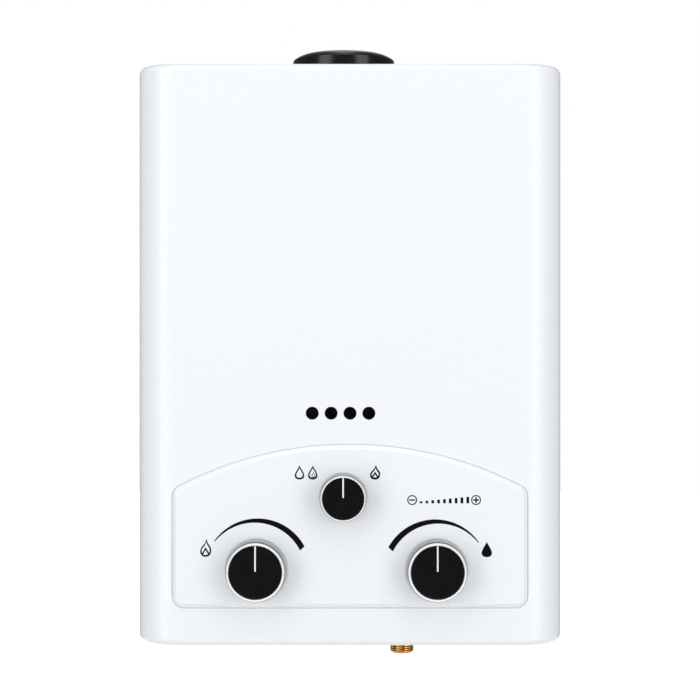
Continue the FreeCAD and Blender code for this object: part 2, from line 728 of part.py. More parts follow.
def exhaust_hood():
    """Folded hood from the fin stack to the flue."""
    half_w = SHELL_W / 2 + FIT_GAP + HOOD_T
    half_d = SHELL_D / 2 + FIT_GAP + HOOD_T
    z0, z1 = SHELL_Z1 - HOOD_SKIRT, SHELL_Z1 + TOUCH_GAP
    z2 = z1 + HOOD_SLOPE_H
    throat_top = TOP_PLATE_Z - CHASSIS_T - 0.5

    def solid(inset):
        def ring(w, d, z, cx, cy):
            corners = [point(cx - w, cy - d, z), point(cx + w, cy - d, z), point(cx + w, cy + d, z),
                       point(cx - w, cy + d, z)]
            return Part.makePolygon(corners + corners[:1])
        skirt_low = z0 - (1 if inset else 0)
        skirt = block(CORE_X - half_w + inset, CORE_X + half_w - inset, CORE_Y - half_d + inset,
                      CORE_Y + half_d - inset, skirt_low, z1)
        top_half = HOOD_TOP_W / 2 - inset
        slope = Part.makeLoft([ring(half_w - inset, half_d - inset, z1, CORE_X, CORE_Y),
                               ring(top_half, top_half, z2 - inset, FLUE_X, FLUE_Y)], True, True)
        radius = BORE_R + COLLAR_T + TOUCH_GAP + HOOD_T - inset
        throat_low = z2 - 2 * HOOD_T
        past = 1 if inset else 0
        throat = rod(point(FLUE_X, FLUE_Y, throat_low), Z, throat_top - throat_low + past, radius)
        return skirt.fuse([slope, throat])

    return solid(0).cut(solid(HOOD_T)).removeSplitter()


def tube_rows():
    """Depths of the fin tubes, back to front."""
    return [CORE_Y + (1 - i) * FIN_TUBE_PITCH for i in range(3)]


def tube_holes():
    """Cutters for the fin tubes, right across the chamber."""
    hole_r = FIN_TUBE_R + TOUCH_GAP
    return [rod(point(CORE_X - SHELL_W, y, TUBE_Z), X, 2 * SHELL_W, hole_r) for y in tube_rows()]


def exchanger_shell():
    """Copper combustion chamber with the fin housing at its top."""
    def column(inset):
        half_w, half_d = SHELL_W / 2 - inset, SHELL_D / 2 - inset
        past = 1 if inset else 0
        body = block(CORE_X - half_w, CORE_X + half_w, CORE_Y - half_d, CORE_Y + half_d, SHELL_Z0 - past,
                     SHELL_Z1 + past)
        upright = [e for e in body.Edges if e.BoundBox.ZLength > 10]
        return body.makeFillet(SHELL_CORNER_R - inset, upright)
    shell = column(0).cut(column(SHELL_T))
    return shell.cut(tube_holes())


def exchanger_fins():
    """The stack of thin fins, each pierced by the tubes."""
    inner = SHELL_D / 2 - SHELL_T - FIT_GAP
    plate = block(0, FIN_T, CORE_Y - inner, CORE_Y + inner, FIN_Z0, FIN_Z0 + FIN_H)
    corners = [e for e in plate.Edges if e.BoundBox.XLength > FIN_T / 2]
    plate = plate.makeFillet(SHELL_CORNER_R, corners).cut(tube_holes())
    fins = []
    for i in range(FIN_COUNT):
        copy = plate.copy()
        copy.translate(X * (CORE_X + (i - (FIN_COUNT - 1) / 2) * FIN_PITCH - FIN_T / 2))
        fins.append(copy)
    return Part.makeCompound(fins)


def fin_tubes():
    """One tube that runs three times through the fins, with two return bends."""
    back, middle, front = tube_rows()
    right = CORE_X + SHELL_W / 2 + FIN_TUBE_STUB
    left = CORE_X - SHELL_W / 2 - FIN_TUBE_STUB
    reach = FIN_TUBE_PITCH / 2
    path = []
    y_pairs = ((back, middle, left, -1), (middle, front, right, 1))
    x_from = right
    for y0, y1, x_turn, side in y_pairs:
        path.append(Part.LineSegment(point(x_from, y0, TUBE_Z), point(x_turn, y0, TUBE_Z)).toShape())
        path.append(Part.Arc(point(x_turn, y0, TUBE_Z), point(x_turn + side * reach, (y0 + y1) / 2, TUBE_Z),
                             point(x_turn, y1, TUBE_Z)).toShape())
        x_from = x_turn
    path.append(Part.LineSegment(point(x_from, front, TUBE_Z), point(left, front, TUBE_Z)).toShape())
    wire = Part.Wire(path)
    return swept(wire, FIN_TUBE_R).cut(swept(wire, FIN_TUBE_R - FIN_TUBE_WALL))


def chamber_coil():
    """Cold pipe: up from the water valve, once round the chamber, then into the back fin tube."""
    back = tube_rows()[0]
    off = COIL_R + FIT_GAP
    right, left = CORE_X + SHELL_W / 2 + off, CORE_X - SHELL_W / 2 - off
    rear, front = CORE_Y + SHELL_D / 2 + off, CORE_Y - SHELL_D / 2 - off
    z = SHELL_Z0 + COIL_RISE
    union = water_outlet_top()
    stub_end = CORE_X + SHELL_W / 2 + FIN_TUBE_STUB + TOUCH_GAP
    up_x = stub_end + COIL_BEND
    points = [
        union,
        union + Z * 15,
        point(right, VALVE_Y, union.z + 28),
        point(right, VALVE_Y, z),
        point(right, rear, z),
        point(left, rear, z + COIL_CLIMB),
        point(left, front, z + 2 * COIL_CLIMB),
        point(right, front, z + 3 * COIL_CLIMB),
        point(right, CORE_Y, z + 4 * COIL_CLIMB),
        point(up_x, back, z + 6 * COIL_CLIMB),
        point(up_x, back, TUBE_Z),
        point(stub_end, back, TUBE_Z),
    ]
    return pipe(points, COIL_BEND - TOUCH_GAP, COIL_R, COIL_WALL)


def hot_pipe():
    """From the front fin tube down the left side to the hot outlet."""
    front = tube_rows()[2]
    start = point(CORE_X - SHELL_W / 2 - FIN_TUBE_STUB - TOUCH_GAP, front, TUBE_Z)
    end = hot_union()
    points = [
        start,
        point(HOT_DROP_X, front, TUBE_Z),
        point(HOT_DROP_X, front, end.z + 52),
        end + Z * 22,
        end,
    ]
    return pipe(points, 13.0, COIL_R, COIL_WALL)


def water_outlet_top():
    """Upper end of the water valve's outlet boss, where the cold pipe starts."""
    return point(OUTLET_X, VALVE_Y, SIDE_Z + WATER_HALF + 5.0)


def hot_union():
    """Upper end of the hot outlet fitting, where the hot pipe ends."""
    return point(HOT_X, WATER_FITTING_Y, BOTTOM + 34.0)


def pipe_nuts():
    """Brass union nuts on the two pipe joints."""
    nuts = []
    for seat in (water_outlet_top(), hot_union()):
        low = seat - Z * 5.0
        nut = hexagon(low, Z, 11.0, 2 * COIL_R + 8.0)
        pipe_hole = rod(low - Z, Z, 20, COIL_R + TOUCH_GAP)
        boss_hole = rod(low - Z, Z, 6.0 + TOUCH_GAP, COIL_R + UNION_WALL + TOUCH_GAP)
        nuts.append(nut.cut([pipe_hole, boss_hole]))
    return Part.makeCompound(nuts)


def thermostat():
    """Overheat cut-out clipped to the hot pipe's bend, with its two terminals."""
    front = tube_rows()[2]
    centre = point(HOT_DROP_X, front - COIL_R - TOUCH_GAP, TUBE_Z - 45)
    body = rod(centre, -Y, 7, 8.0).fuse(rod(centre - Y * 7, -Y, 3, 5.5))
    blades = [block(x - 0.4, x + 0.4, centre.y - 16, centre.y - 9.5, centre.z - 2, centre.z + 2)
              for x in (HOT_DROP_X - 3, HOT_DROP_X + 3)]
    clip = sleeve(point(HOT_DROP_X, front, centre.z - 5), Z, 10, COIL_R + 1.0, COIL_R + RUN_GAP)
    clip = clip.cut(block(HOT_DROP_X - 3, HOT_DROP_X + 3, front, front + 12, centre.z - 6, centre.z + 6))
    return join(body, clip, *blades)


# --- burner ---------------------------------------------------------------------------------------
def bar_places():
    """Where the burner bars stand, left to right."""
    return [CORE_X + (i - (BAR_COUNT - 1) / 2) * BAR_PITCH for i in range(BAR_COUNT)]


def burner_bars():
    """Atmospheric burner bars: mixing tube below, ported head above."""
    top = BAR_Z + BAR_H
    head_z, mixer_top = top - HEAD_H, BAR_Z + MIXER_H
    y0, y1 = BAR_FRONT_Y, BAR_BACK_Y
    neck_y = y1 - NECK_D
    profile = [(y0, BAR_Z), (y1, BAR_Z), (y1, top), (y0, top), (y0, head_z), (neck_y, head_z),
               (neck_y, mixer_top), (y0, mixer_top)]
    blank = prism([point(-BAR_W / 2, y, z) for y, z in profile], X * BAR_W)
    edges = [e for e in blank.Edges if e.BoundBox.XLength > BAR_W / 2 and len(e.Vertexes) == 2]
    blank = blank.makeFillet(2.0, edges)
    cuts = [rod(point(0, BAR_FRONT_Y - 1, MIXER_Z), Y, BAR_BACK_Y - BAR_FRONT_Y - 8, MOUTH_R)]
    pitch = (BAR_BACK_Y - BAR_FRONT_Y - 8.0) / PORT_COUNT
    for i in range(PORT_COUNT):
        y = BAR_FRONT_Y + 4.0 + (i + 0.5) * pitch
        cuts.append(block(-PORT_HALF, PORT_HALF, y - PORT_W / 2, y + PORT_W / 2, top - PORT_DEPTH, top + 1))
    blank = blank.cut(cuts)
    bars = []
    for x in bar_places():
        bar = blank.copy()
        bar.translate(X * x)
        bars.append(bar)
    return Part.makeCompound(bars)


def frame_screw_seats():
    """Screws through the feet of the burner frame."""
    x = SHELL_W / 2 - FRAME_FOOT / 2
    zs = (BAR_Z + 12, BAR_Z + 40)
    return [(point(CORE_X + side * x, CHASSIS_Y - FRAME_T, z), Y, FRAME_T + CHASSIS_T - TOUCH_GAP)
            for side in (-1, 1) for z in zs]


def burner_frame():
    """Sheet frame that carries the bars and the chamber, fixed to the back plate."""
    x0, x1 = CORE_X - SHELL_W / 2, CORE_X + SHELL_W / 2
    y0, y1 = BAR_FRONT_Y - 2 * FRAME_T, CHASSIS_Y
    top = SHELL_Z0 - TOUCH_GAP
    t, low = FRAME_T, BAR_Z - FRAME_T
    seat0, seat1 = CORE_Y - SHELL_D / 2, CORE_Y + SHELL_D / 2
    pieces = [
        block(x0, x0 + t, y0, y1, low, top),
        block(x1 - t, x1, y0, y1, low, top),
        block(x0, x0 + FRAME_SHELF, seat0, seat1, top - t, top),
        block(x1 - FRAME_SHELF, x1, seat0, seat1, top - t, top),
        block(x0, x0 + FRAME_FOOT, y1 - t, y1, low, top),
        block(x1 - FRAME_FOOT, x1, y1 - t, y1, low, top),
        block(x0, x1, y0, y0 + t, low, BAR_Z + MIXER_H + 10),
        block(x0, x1, BAR_BACK_Y + t, BAR_BACK_Y + 2 * t, low, BAR_Z + MIXER_H),
        block(x0, x1, BAR_FRONT_Y - t, BAR_FRONT_Y + FRAME_SHELF, low, BAR_Z - TOUCH_GAP),
        block(x0, x1, BAR_BACK_Y - FRAME_SHELF, BAR_BACK_Y + 2 * t, low, BAR_Z - TOUCH_GAP),
    ]
    frame = join(*pieces)
    frame = frame.cut([rod(point(x, y0 - 1, MIXER_Z), Y, t + 2, MOUTH_R + 0.6) for x in bar_places()])
    return drilled(frame, frame_screw_seats(), TOUCH_GAP)


def gas_manifold():
    """Square gas rail in front of the bars, with the foot that seats on the distributor."""
    places = bar_places()
    s = MANIFOLD_S / 2
    x0, x1 = places[0] - 10, places[-1] + 10
    rail = block(x0, x1, MANIFOLD_Y - s, MANIFOLD_Y + s, MIXER_Z - s, MIXER_Z + s)
    rail = rail.makeFillet(2.0, [e for e in rail.Edges if e.BoundBox.XLength > 20])
    foot_z = SEASON_Z + DISTRIBUTOR_TOP + TOUCH_GAP
    foot = block(SEASON_KNOB_X - 12, SEASON_KNOB_X + 12, MANIFOLD_Y - s, MANIFOLD_Y + s, foot_z, MIXER_Z)
    body = join(rail, foot)
    cuts = [rod(point(x0 + 3, MANIFOLD_Y, MIXER_Z), X, x1 - x0 - 6, s - 2.0),
            rod(point(SEASON_KNOB_X, MANIFOLD_Y, foot_z - 1), Z, MIXER_Z - foot_z, 4.0)]
    cuts += [rod(point(x, MANIFOLD_Y, MIXER_Z), Y, s + 1, NOZZLE_R) for x in places]
    return body.cut(cuts)


def gas_nozzles():
    """Brass injectors, one for each bar."""
    s = MANIFOLD_S / 2
    y0 = MANIFOLD_Y + s
    nozzles = []
    for x in bar_places():
        shank = rod(point(x, y0 - 2.4, MIXER_Z), Y, 2.5, NOZZLE_R - RUN_GAP)
        head = hexagon(point(x, y0 + RUN_GAP, MIXER_Z), Y, 2.0, 7.0)
        tip = cone(point(x, y0 + 2.0, MIXER_Z), Y, 5.0, 2.8, 1.5)
        body = join(shank, head, tip).cut(rod(point(x, y0 - 3, MIXER_Z), Y, 12, 0.5))
        nozzles.append(body)
    return Part.makeCompound(nozzles)


# --- ignition -------------------------------------------------------------------------------------
def electrode_places():
    """Left ends of the two electrodes: spark, then flame sense."""
    return [ELECTRODE_X, ELECTRODE_X + ELECTRODE_PITCH]


def electrode_front():
    """Depth of the front ends of the ceramics."""
    return BAR_FRONT_Y - 14.0


def electrode_ceramics():
    """White ceramic insulators, each with a collar that rests on the bracket."""
    z = BOTTOM + ELECTRODE_RISE
    y0 = electrode_front()
    collar_y = BAR_FRONT_Y - 3 * FRAME_T - 2 * TOUCH_GAP
    bodies = []
    for x in electrode_places():
        body = rod(point(x, y0, z), Y, CERAMIC_L, CERAMIC_R)
        body = body.makeFillet(0.8, circles(body))
        body = join(body, rod(point(x, collar_y, z), -Y, 3.0, CERAMIC_R + 1.2))
        bodies.append(body.cut(rod(point(x, y0 - 1, z), Y, CERAMIC_L + 2, ELECTRODE_R + RUN_GAP)))
    return Part.makeCompound(bodies)


def electrode_rods():
    """Steel rods that run through the ceramics and dip to the flames."""
    z = BOTTOM + ELECTRODE_RISE
    y0 = electrode_front()
    rods = []
    for x in electrode_places():
        points = [point(x, y0 - ELECTRODE_STUB, z), point(x, y0 + CERAMIC_L + 10, z),
                  point(x, y0 + CERAMIC_L + 15, z - 6)]
        rods.append(lead(points, 3.0, ELECTRODE_R))
    return Part.makeCompound(rods)


def electrode_bracket():
    """Strip that clamps the ceramics to the front of the frame."""
    z = BOTTOM + ELECTRODE_RISE
    y1 = BAR_FRONT_Y - 2 * FRAME_T - TOUCH_GAP
    x0, x1 = ELECTRODE_X - 7, ELECTRODE_X + ELECTRODE_PITCH + 7
    strip = block(x0, x1, y1 - FRAME_T, y1, BAR_Z + MIXER_H + 1, z + 7)
    return strip.cut([rod(point(x, y1 - 3, z), Y, 8, CERAMIC_R + TOUCH_GAP) for x in electrode_places()])


def igniter_screw_seats():
    """Screws through the igniter's two ears."""
    x = IGNITER_X + IGNITER_W / 2
    z0 = BOTTOM + IGNITER_RISE
    zs = (z0 - EAR / 2, z0 + IGNITER_H + EAR / 2)
    return [(point(x, CHASSIS_Y - EAR_T, z), Y, EAR_T + CHASSIS_T - TOUCH_GAP) for z in zs]


def igniter_box():
    """Pulse igniter in its plastic box, with high-voltage towers above and a plug socket below."""
    x0, z0 = IGNITER_X, BOTTOM + IGNITER_RISE
    y1 = CHASSIS_Y
    y0 = y1 - IGNITER_D
    body = block(x0, x0 + IGNITER_W, y0, y1, z0, z0 + IGNITER_H)
    body = body.makeFillet(2.0, [e for e in body.Edges if e.BoundBox.YLength > 10])
    ears = [block(x0 + IGNITER_W / 2 - 6, x0 + IGNITER_W / 2 + 6, y1 - EAR_T, y1, z, z + EAR)
            for z in (z0 - EAR + 1, z0 + IGNITER_H - 1)]
    towers = [rod(p, Y, TOWER_L + 0.5, TOWER_R) for p in igniter_towers()]
    socket = block(x0 + 5, x0 + IGNITER_W - 5, y0 - SOCKET_L, y0 + 0.5, z0 + 5, z0 + 13)
    return drilled(join(body, socket, *ears, *towers), igniter_screw_seats(), TOUCH_GAP)


def igniter_towers():
    """Front ends of the igniter's two high-voltage towers."""
    y = CHASSIS_Y - IGNITER_D - TOWER_L
    z = BOTTOM + IGNITER_RISE + IGNITER_H - 10
    return [point(IGNITER_X + IGNITER_W / 2 + side * 7.5, y, z) for side in (-1, 1)]


def ignition_leads():
    """High-voltage leads from the igniter's towers to the two electrodes."""
    z = BOTTOM + ELECTRODE_RISE
    y_end = electrode_front() - ELECTRODE_STUB - TOUCH_GAP
    y_run = y_end - 2 * LEAD_R
    near, far = igniter_towers()
    right, left = electrode_places()[1], electrode_places()[0]
    runs = [
        [near - Y * TOUCH_GAP, point(near.x, -106, near.z), point(near.x - 16, y_run, z),
         point(right, y_run, z), point(right, y_end, z)],
        [far - Y * TOUCH_GAP, point(far.x, -100, far.z), point(far.x - 22, y_run, z - 10),
         point(left, y_run, z - 10), point(left, y_run, z), point(left, y_end, z)],
    ]
    return Part.makeCompound([lead(points, LEAD_BEND, LEAD_R) for points in runs])


def control_leads():
    """Low-voltage leads from the igniter to the battery, micro-switch, solenoid and thermostat."""
    y0 = CHASSIS_Y - IGNITER_D - SOCKET_L - TOUCH_GAP
    z0 = BOTTOM + IGNITER_RISE + 9
    starts = [point(IGNITER_X + 9 + LEAD_PITCH * i, y0, z0) for i in range(4)]
    behind = y0 - 8
    low = z0 - 20
    left = -(CASE_W / 2 - COVER_T - 7)
    blade_z = LEVER_Z + 1.8 + SWITCH_H + 5 + TOUCH_GAP
    blade_x = LEVER_X - 1
    solenoid_end = point(GAS_BODY_X0 - SOLENOID_L - 5 - 2 * TOUCH_GAP, VALVE_Y + 4, SIDE_Z)
    cut_out = point(HOT_DROP_X - 3, tube_rows()[2] - 22 - 2 * TOUCH_GAP, TUBE_Z - 45)
    a, b, c, d = starts
    runs = [
        [a, point(a.x, behind, z0), point(a.x, behind - 4, low + 3), point(blade_x, behind - 4, low + 3),
         point(blade_x, VALVE_Y, low + 3), point(blade_x, VALVE_Y, blade_z)],
        [b, point(b.x, behind - 6, z0), point(b.x + 4, CELL_Y, z0 - 34), point(b.x, CELL_Y, CELL_Z + 4),
         point(BOX_X1 + TOUCH_GAP, CELL_Y, CELL_Z + 4)],
        [c, point(c.x, behind + 3, z0), point(c.x, behind + 3, low - 3), point(left, behind + 3, low - 3),
         point(left, solenoid_end.y, SIDE_Z), solenoid_end],
        [d, point(d.x, behind + 6, z0), point(d.x, behind + 6, low - 7),
         point(left - 1, behind + 6, low - 7), point(left - 1, behind + 6, cut_out.z),
         point(left - 1, cut_out.y - 6, cut_out.z), point(cut_out.x, cut_out.y - 6, cut_out.z), cut_out],
    ]
    return Part.makeCompound([lead(points, LEAD_BEND, THIN_LEAD_R) for points in runs])


# --- gas side -------------------------------------------------------------------------------------
def gas_valve_body():
    """Die-cast gas valve: safety chamber, cock boss, valve chamber, inlet boss and gas channel."""
    h = VALVE_HALF
    body = block(GAS_BODY_X0, GAS_BODY_X1, VALVE_Y - h, VALVE_Y + h, SIDE_Z - h, SIDE_Z + h)
    body = body.makeFillet(3.0, [e for e in body.Edges if e.BoundBox.XLength > 20])
    boss = rod(point(GAS_KNOB_X, VALVE_Y, SIDE_Z), -Y, VALVE_Y - BOSS_Y, BOSS_R)
    inlet_low = SIDE_Z - INLET_BOSS_DROP
    inlet = rod(point(GAS_INLET_X, GAS_INLET_Y, inlet_low), Z, INLET_BOSS_DROP - 7, INLET_BOSS_R)
    channel_y, channel_z = VALVE_Y - CHANNEL_FORWARD, SIDE_Z - CHANNEL_DROP
    wall = 2 * CHANNEL_R
    rib = block(GAS_BODY_X0 + 2, GAS_INLET_X + wall, channel_y - wall, channel_y + wall, channel_z - wall,
                channel_z)
    body = join(body, boss, inlet, rib)
    channel_x0 = (GAS_BODY_X0 + SAFETY_SEAT_X) / 2
    inlet_top = channel_z + 0.3
    rotor_back = VALVE_Y + GAS_ROTOR_PAST
    cuts = [
        rod(point(CHAMBER_X0, VALVE_Y, SIDE_Z), X, GAS_BODY_X1 - CHAMBER_X0 + 1, CHAMBER_R),
        rod(point(SAFETY_SEAT_X - 1, VALVE_Y, SIDE_Z), X, CHAMBER_X0 - SAFETY_SEAT_X + 2, PASSAGE_R),
        rod(point(GAS_BODY_X0 - 1, VALVE_Y, SIDE_Z), X, SAFETY_SEAT_X - GAS_BODY_X0 + 1, SAFETY_CHAMBER_R),
        rod(point(GAS_KNOB_X, rotor_back + 1, SIDE_Z), -Y, rotor_back + 1 - BOSS_Y + 1, ROTOR_R + RUN_GAP),
        rod(point(GAS_INLET_X, GAS_INLET_Y, inlet_low - 1), Z, inlet_top - inlet_low + 1, INLET_BORE_R),
        rod(point(GAS_INLET_X, GAS_INLET_Y, inlet_top - 5), Z, 5.0, 6.5),
        rod(point(channel_x0, channel_y, channel_z), X, GAS_INLET_X - channel_x0, CHANNEL_R),
        rod(point(channel_x0, channel_y, channel_z), Z, CHANNEL_DROP, CHANNEL_R),
        rod(point(SEASON_KNOB_X, VALVE_Y, SIDE_Z), Z, h + 5, DISTRIBUTOR_R),
    ]
    return body.cut(cuts)


def gas_distributor():
    """Casting above the gas valve: season valve, and the seat for the manifold."""
    top = SEASON_Z + DISTRIBUTOR_TOP
    x0, x1 = SEASON_KNOB_X - DISTRIBUTOR_HALF, SEASON_KNOB_X + DISTRIBUTOR_HALF
    low = SIDE_Z + VALVE_HALF + TOUCH_GAP
    front = MANIFOLD_FRONT
    column = block(x0, x1, VALVE_Y - DISTRIBUTOR_HALF, VALVE_Y + DISTRIBUTOR_HALF, low, top)
    arm = block(x0, x1, front, VALVE_Y, SEASON_Z - DISTRIBUTOR_LOW, top)
    body = join(column, arm)
    body = body.makeFillet(2.5, [e for e in upright_edges(body) if e.BoundBox.ZLength > 15])
    cuts = [
        rod(point(SEASON_KNOB_X, front - 1, SEASON_Z), Y, SEASON_BORE_L + 1, ROTOR_R + RUN_GAP),
        rod(point(SEASON_KNOB_X, front + SEASON_BORE_L - 1, SEASON_Z), Y, VALVE_Y - front - SEASON_BORE_L + 1,
            DISTRIBUTOR_R),
        rod(point(SEASON_KNOB_X, VALVE_Y, low - 1), Z, SEASON_Z - low + 1, DISTRIBUTOR_R),
        rod(point(SEASON_KNOB_X, MANIFOLD_Y, SEASON_Z), Z, DISTRIBUTOR_TOP + 2, DISTRIBUTOR_OUT_R),
    ]
    return body.cut(cuts)


def spindle(x, z, rotor_back, rotor_front, port_y, knob_h):
    """A control spindle: ported rotor inside the valve, and a shaft with a D end inside the knob."""
    tip = PANEL_FACE - KNOB_GAP - knob_h + KNOB_WALL + INSERT_T + 0.6
    rotor = rod(point(x, rotor_back, z), -Y, rotor_back - rotor_front, ROTOR_R)
    shaft = rod(point(x, rotor_front + 1, z), -Y, rotor_front + 1 - tip, SPINDLE_R)
    flat_start = PANEL_FACE + HUB_INSIDE
    flat = block(x - 5, x + 5, tip - 1, flat_start, z + SPINDLE_R - SPINDLE_FLAT, z + 5)
    port = rod(point(x - 10, port_y, z), X, 20, PORT_R)
    return join(rotor, shaft).cut([flat, port])


def gas_spindle():
    """Gas cock and its shaft."""
    back, front = VALVE_Y + GAS_ROTOR_PAST, BOSS_Y + ROTOR_INSET
    return spindle(GAS_KNOB_X, SIDE_Z, back, front, VALVE_Y, SIDE_KNOB_H)


def season_spindle():
    """Summer and winter valve and its shaft."""
    front = MANIFOLD_FRONT
    return spindle(SEASON_KNOB_X, SEASON_Z, front + SEASON_ROTOR_L, front + ROTOR_INSET, front + SEASON_PORT,
                   SEASON_KNOB_H)


def temperature_spindle():
    """Water flow needle and its shaft."""
    x, front = TEMP_KNOB_X, VALVE_Y - WATER_HALF
    body = spindle(x, SIDE_Z, front + FLOW_ROTOR_L, front + ROTOR_INSET, front + FLOW_PORT, SIDE_KNOB_H)
    return join(body, cone(point(x, front + FLOW_ROTOR_L - 0.1, SIDE_Z), Y, 3.0, 3.0, 1.2))


def gland_nuts():
    """Brass glands round the three spindles."""
    nuts = []
    fronts = ((GAS_KNOB_X, SIDE_Z, BOSS_Y), (SEASON_KNOB_X, SEASON_Z, MANIFOLD_FRONT),
              (TEMP_KNOB_X, SIDE_Z, VALVE_Y - WATER_HALF))
    for x, z, y in fronts:
        nut = hexagon(point(x, y - TOUCH_GAP, z), -Y, GLAND_T, 2 * GLAND_R)
        nut = join(nut, rod(point(x, y + 1.4, z), -Y, 2.0, ROTOR_R - TOUCH_GAP))
        nuts.append(nut.cut(rod(point(x, y + 5, z), -Y, 20, SPINDLE_R + RUN_GAP)))
    return Part.makeCompound(nuts)


def valve_seat():
    """Brass seat ring pressed into the gas valve."""
    return sleeve(point(SEAT_X, VALVE_Y, SIDE_Z), X, SEAT_T, CHAMBER_R - RUN_GAP, SEAT_R)


def guide_plug():
    """Plug that closes the valve chamber and guides the push rod."""
    x1 = GAS_BODY_X1
    plug = rod(point(x1 - GUIDE_T, VALVE_Y, SIDE_Z), X, GUIDE_T, CHAMBER_R - RUN_GAP)
    nose = rod(point(x1 - 1, VALVE_Y, SIDE_Z), X, 2.0, ROD_R + 3.0)
    return join(plug, nose).cut(rod(point(x1 - GUIDE_T - 1, VALVE_Y, SIDE_Z), X, 20, ROD_R + RUN_GAP))


def valve_disc():
    """Gas valve disc that the push rod lifts off its seat."""
    x1 = SEAT_X - TOUCH_GAP
    disc = rod(point(x1 - DISC_T, VALVE_Y, SIDE_Z), X, DISC_T, DISC_R)
    return disc.makeFillet(0.8, circles(disc))


def valve_spring():
    """Spring that shuts the gas valve."""
    x0 = CHAMBER_X0 + TOUCH_GAP
    length = SEAT_X - TOUCH_GAP - DISC_T - x0 - TOUCH_GAP
    return coil_spring(point(x0, VALVE_Y, SIDE_Z), X, length, 6.5, 0.6, 5)


def solenoid_can():
    """Safety solenoid: flange, coil can and terminals."""
    x1 = GAS_BODY_X0 - TOUCH_GAP
    x0 = x1 - SOLENOID_L
    flange = rod(point(x1, VALVE_Y, SIDE_Z), -X, 3.0, VALVE_HALF)
    can = rod(point(x1 - 2, VALVE_Y, SIDE_Z), -X, SOLENOID_L - 2, SOLENOID_R)
    can = can.makeFillet(2.0, [e for e in circles(can) if e.BoundBox.XMax < x1 - 5])
    blades = [block(x0 - 5, x0 + 1, VALVE_Y + s * 4 - 0.4, VALVE_Y + s * 4 + 0.4, SIDE_Z - 2, SIDE_Z + 2)
              for s in (-1, 1)]
    bore = rod(point(x1 + 1, VALVE_Y, SIDE_Z), -X, 24.0, PLUNGER_R + RUN_GAP)
    return join(flange, can, *blades).cut(bore)


def solenoid_plunger():
    """Armature with the rubber-faced safety disc."""
    x1 = SAFETY_SEAT_X - TOUCH_GAP
    disc = rod(point(x1 - PLUNGER_DISC_T, VALVE_Y, SIDE_Z), X, PLUNGER_DISC_T, 7.0)
    stem = rod(point(x1 - 1, VALVE_Y, SIDE_Z), -X, PLUNGER_L + PLUNGER_DISC_T - 1, PLUNGER_R)
    return join(stem, disc)


def solenoid_spring():
    """Spring behind the safety disc."""
    x0 = GAS_BODY_X0
    x1 = SAFETY_SEAT_X - TOUCH_GAP - PLUNGER_DISC_T - TOUCH_GAP
    return coil_spring(point(x0, VALVE_Y, SIDE_Z), X, x1 - x0, 5.4, 0.4, 4)


def gas_inlet_fitting():
    """Brass threaded fitting, screwed up into the gas valve."""
    z_end = BOTTOM - GAS_BELOW
    x, y = GAS_INLET_X, GAS_INLET_Y
    z_top = SIDE_Z - INLET_BOSS_DROP - TOUCH_GAP
    nose = cone(point(x, y, z_end), Z, GAS_NOSE, GAS_THREAD_R - GAS_NOSE, GAS_THREAD_R)
    z_thread = z_end + GAS_NOSE
    thread = rod(point(x, y, z_thread), Z, GAS_THREAD_L, GAS_THREAD_R)
    z_hex = z_thread + GAS_THREAD_L
    hexa = hexagon(point(x, y, z_hex), Z, z_top - z_hex, 2 * GAS_THREAD_R + 1.6)
    spigot = rod(point(x, y, z_top - 1), Z, 9.0, INLET_BORE_R - TOUCH_GAP)
    body = join(nose, thread, hexa, spigot)
    return body.cut(rod(point(x, y, z_end - 1), Z, z_top - z_end + 12, 3.0))


def bracket_screw_seats():
    """Screws through the valve bracket."""
    z = SIDE_Z - VALVE_HALF + BRACKET_H - 8
    return [(point(x, CHASSIS_Y - BRACKET_T, z), Y, BRACKET_T + CHASSIS_T - TOUCH_GAP)
            for x in (BRACKET_X0 + 12, BRACKET_X1 - 12)]


def valve_bracket():
    """Angle bracket that carries the gas valve from the back plate."""
    y1, t = CHASSIS_Y, BRACKET_T
    z = SIDE_Z - VALVE_HALF - TOUCH_GAP
    x0, x1 = BRACKET_X0, BRACKET_X1
    shelf = block(x0, x1, VALVE_Y - CHANNEL_FORWARD + 2 * CHANNEL_R + 1, y1, z - t, z)
    back = block(x0, x1, y1 - t, y1, z - t, z + BRACKET_H)
    gusset = [prism([point(x, y1 - t, z), point(x, y1 - 22, z), point(x, y1 - t, z + 22)], X * t)
              for x in (x0, x1 - t)]
    return drilled(join(shelf, back, *gusset), bracket_screw_seats(), TOUCH_GAP)


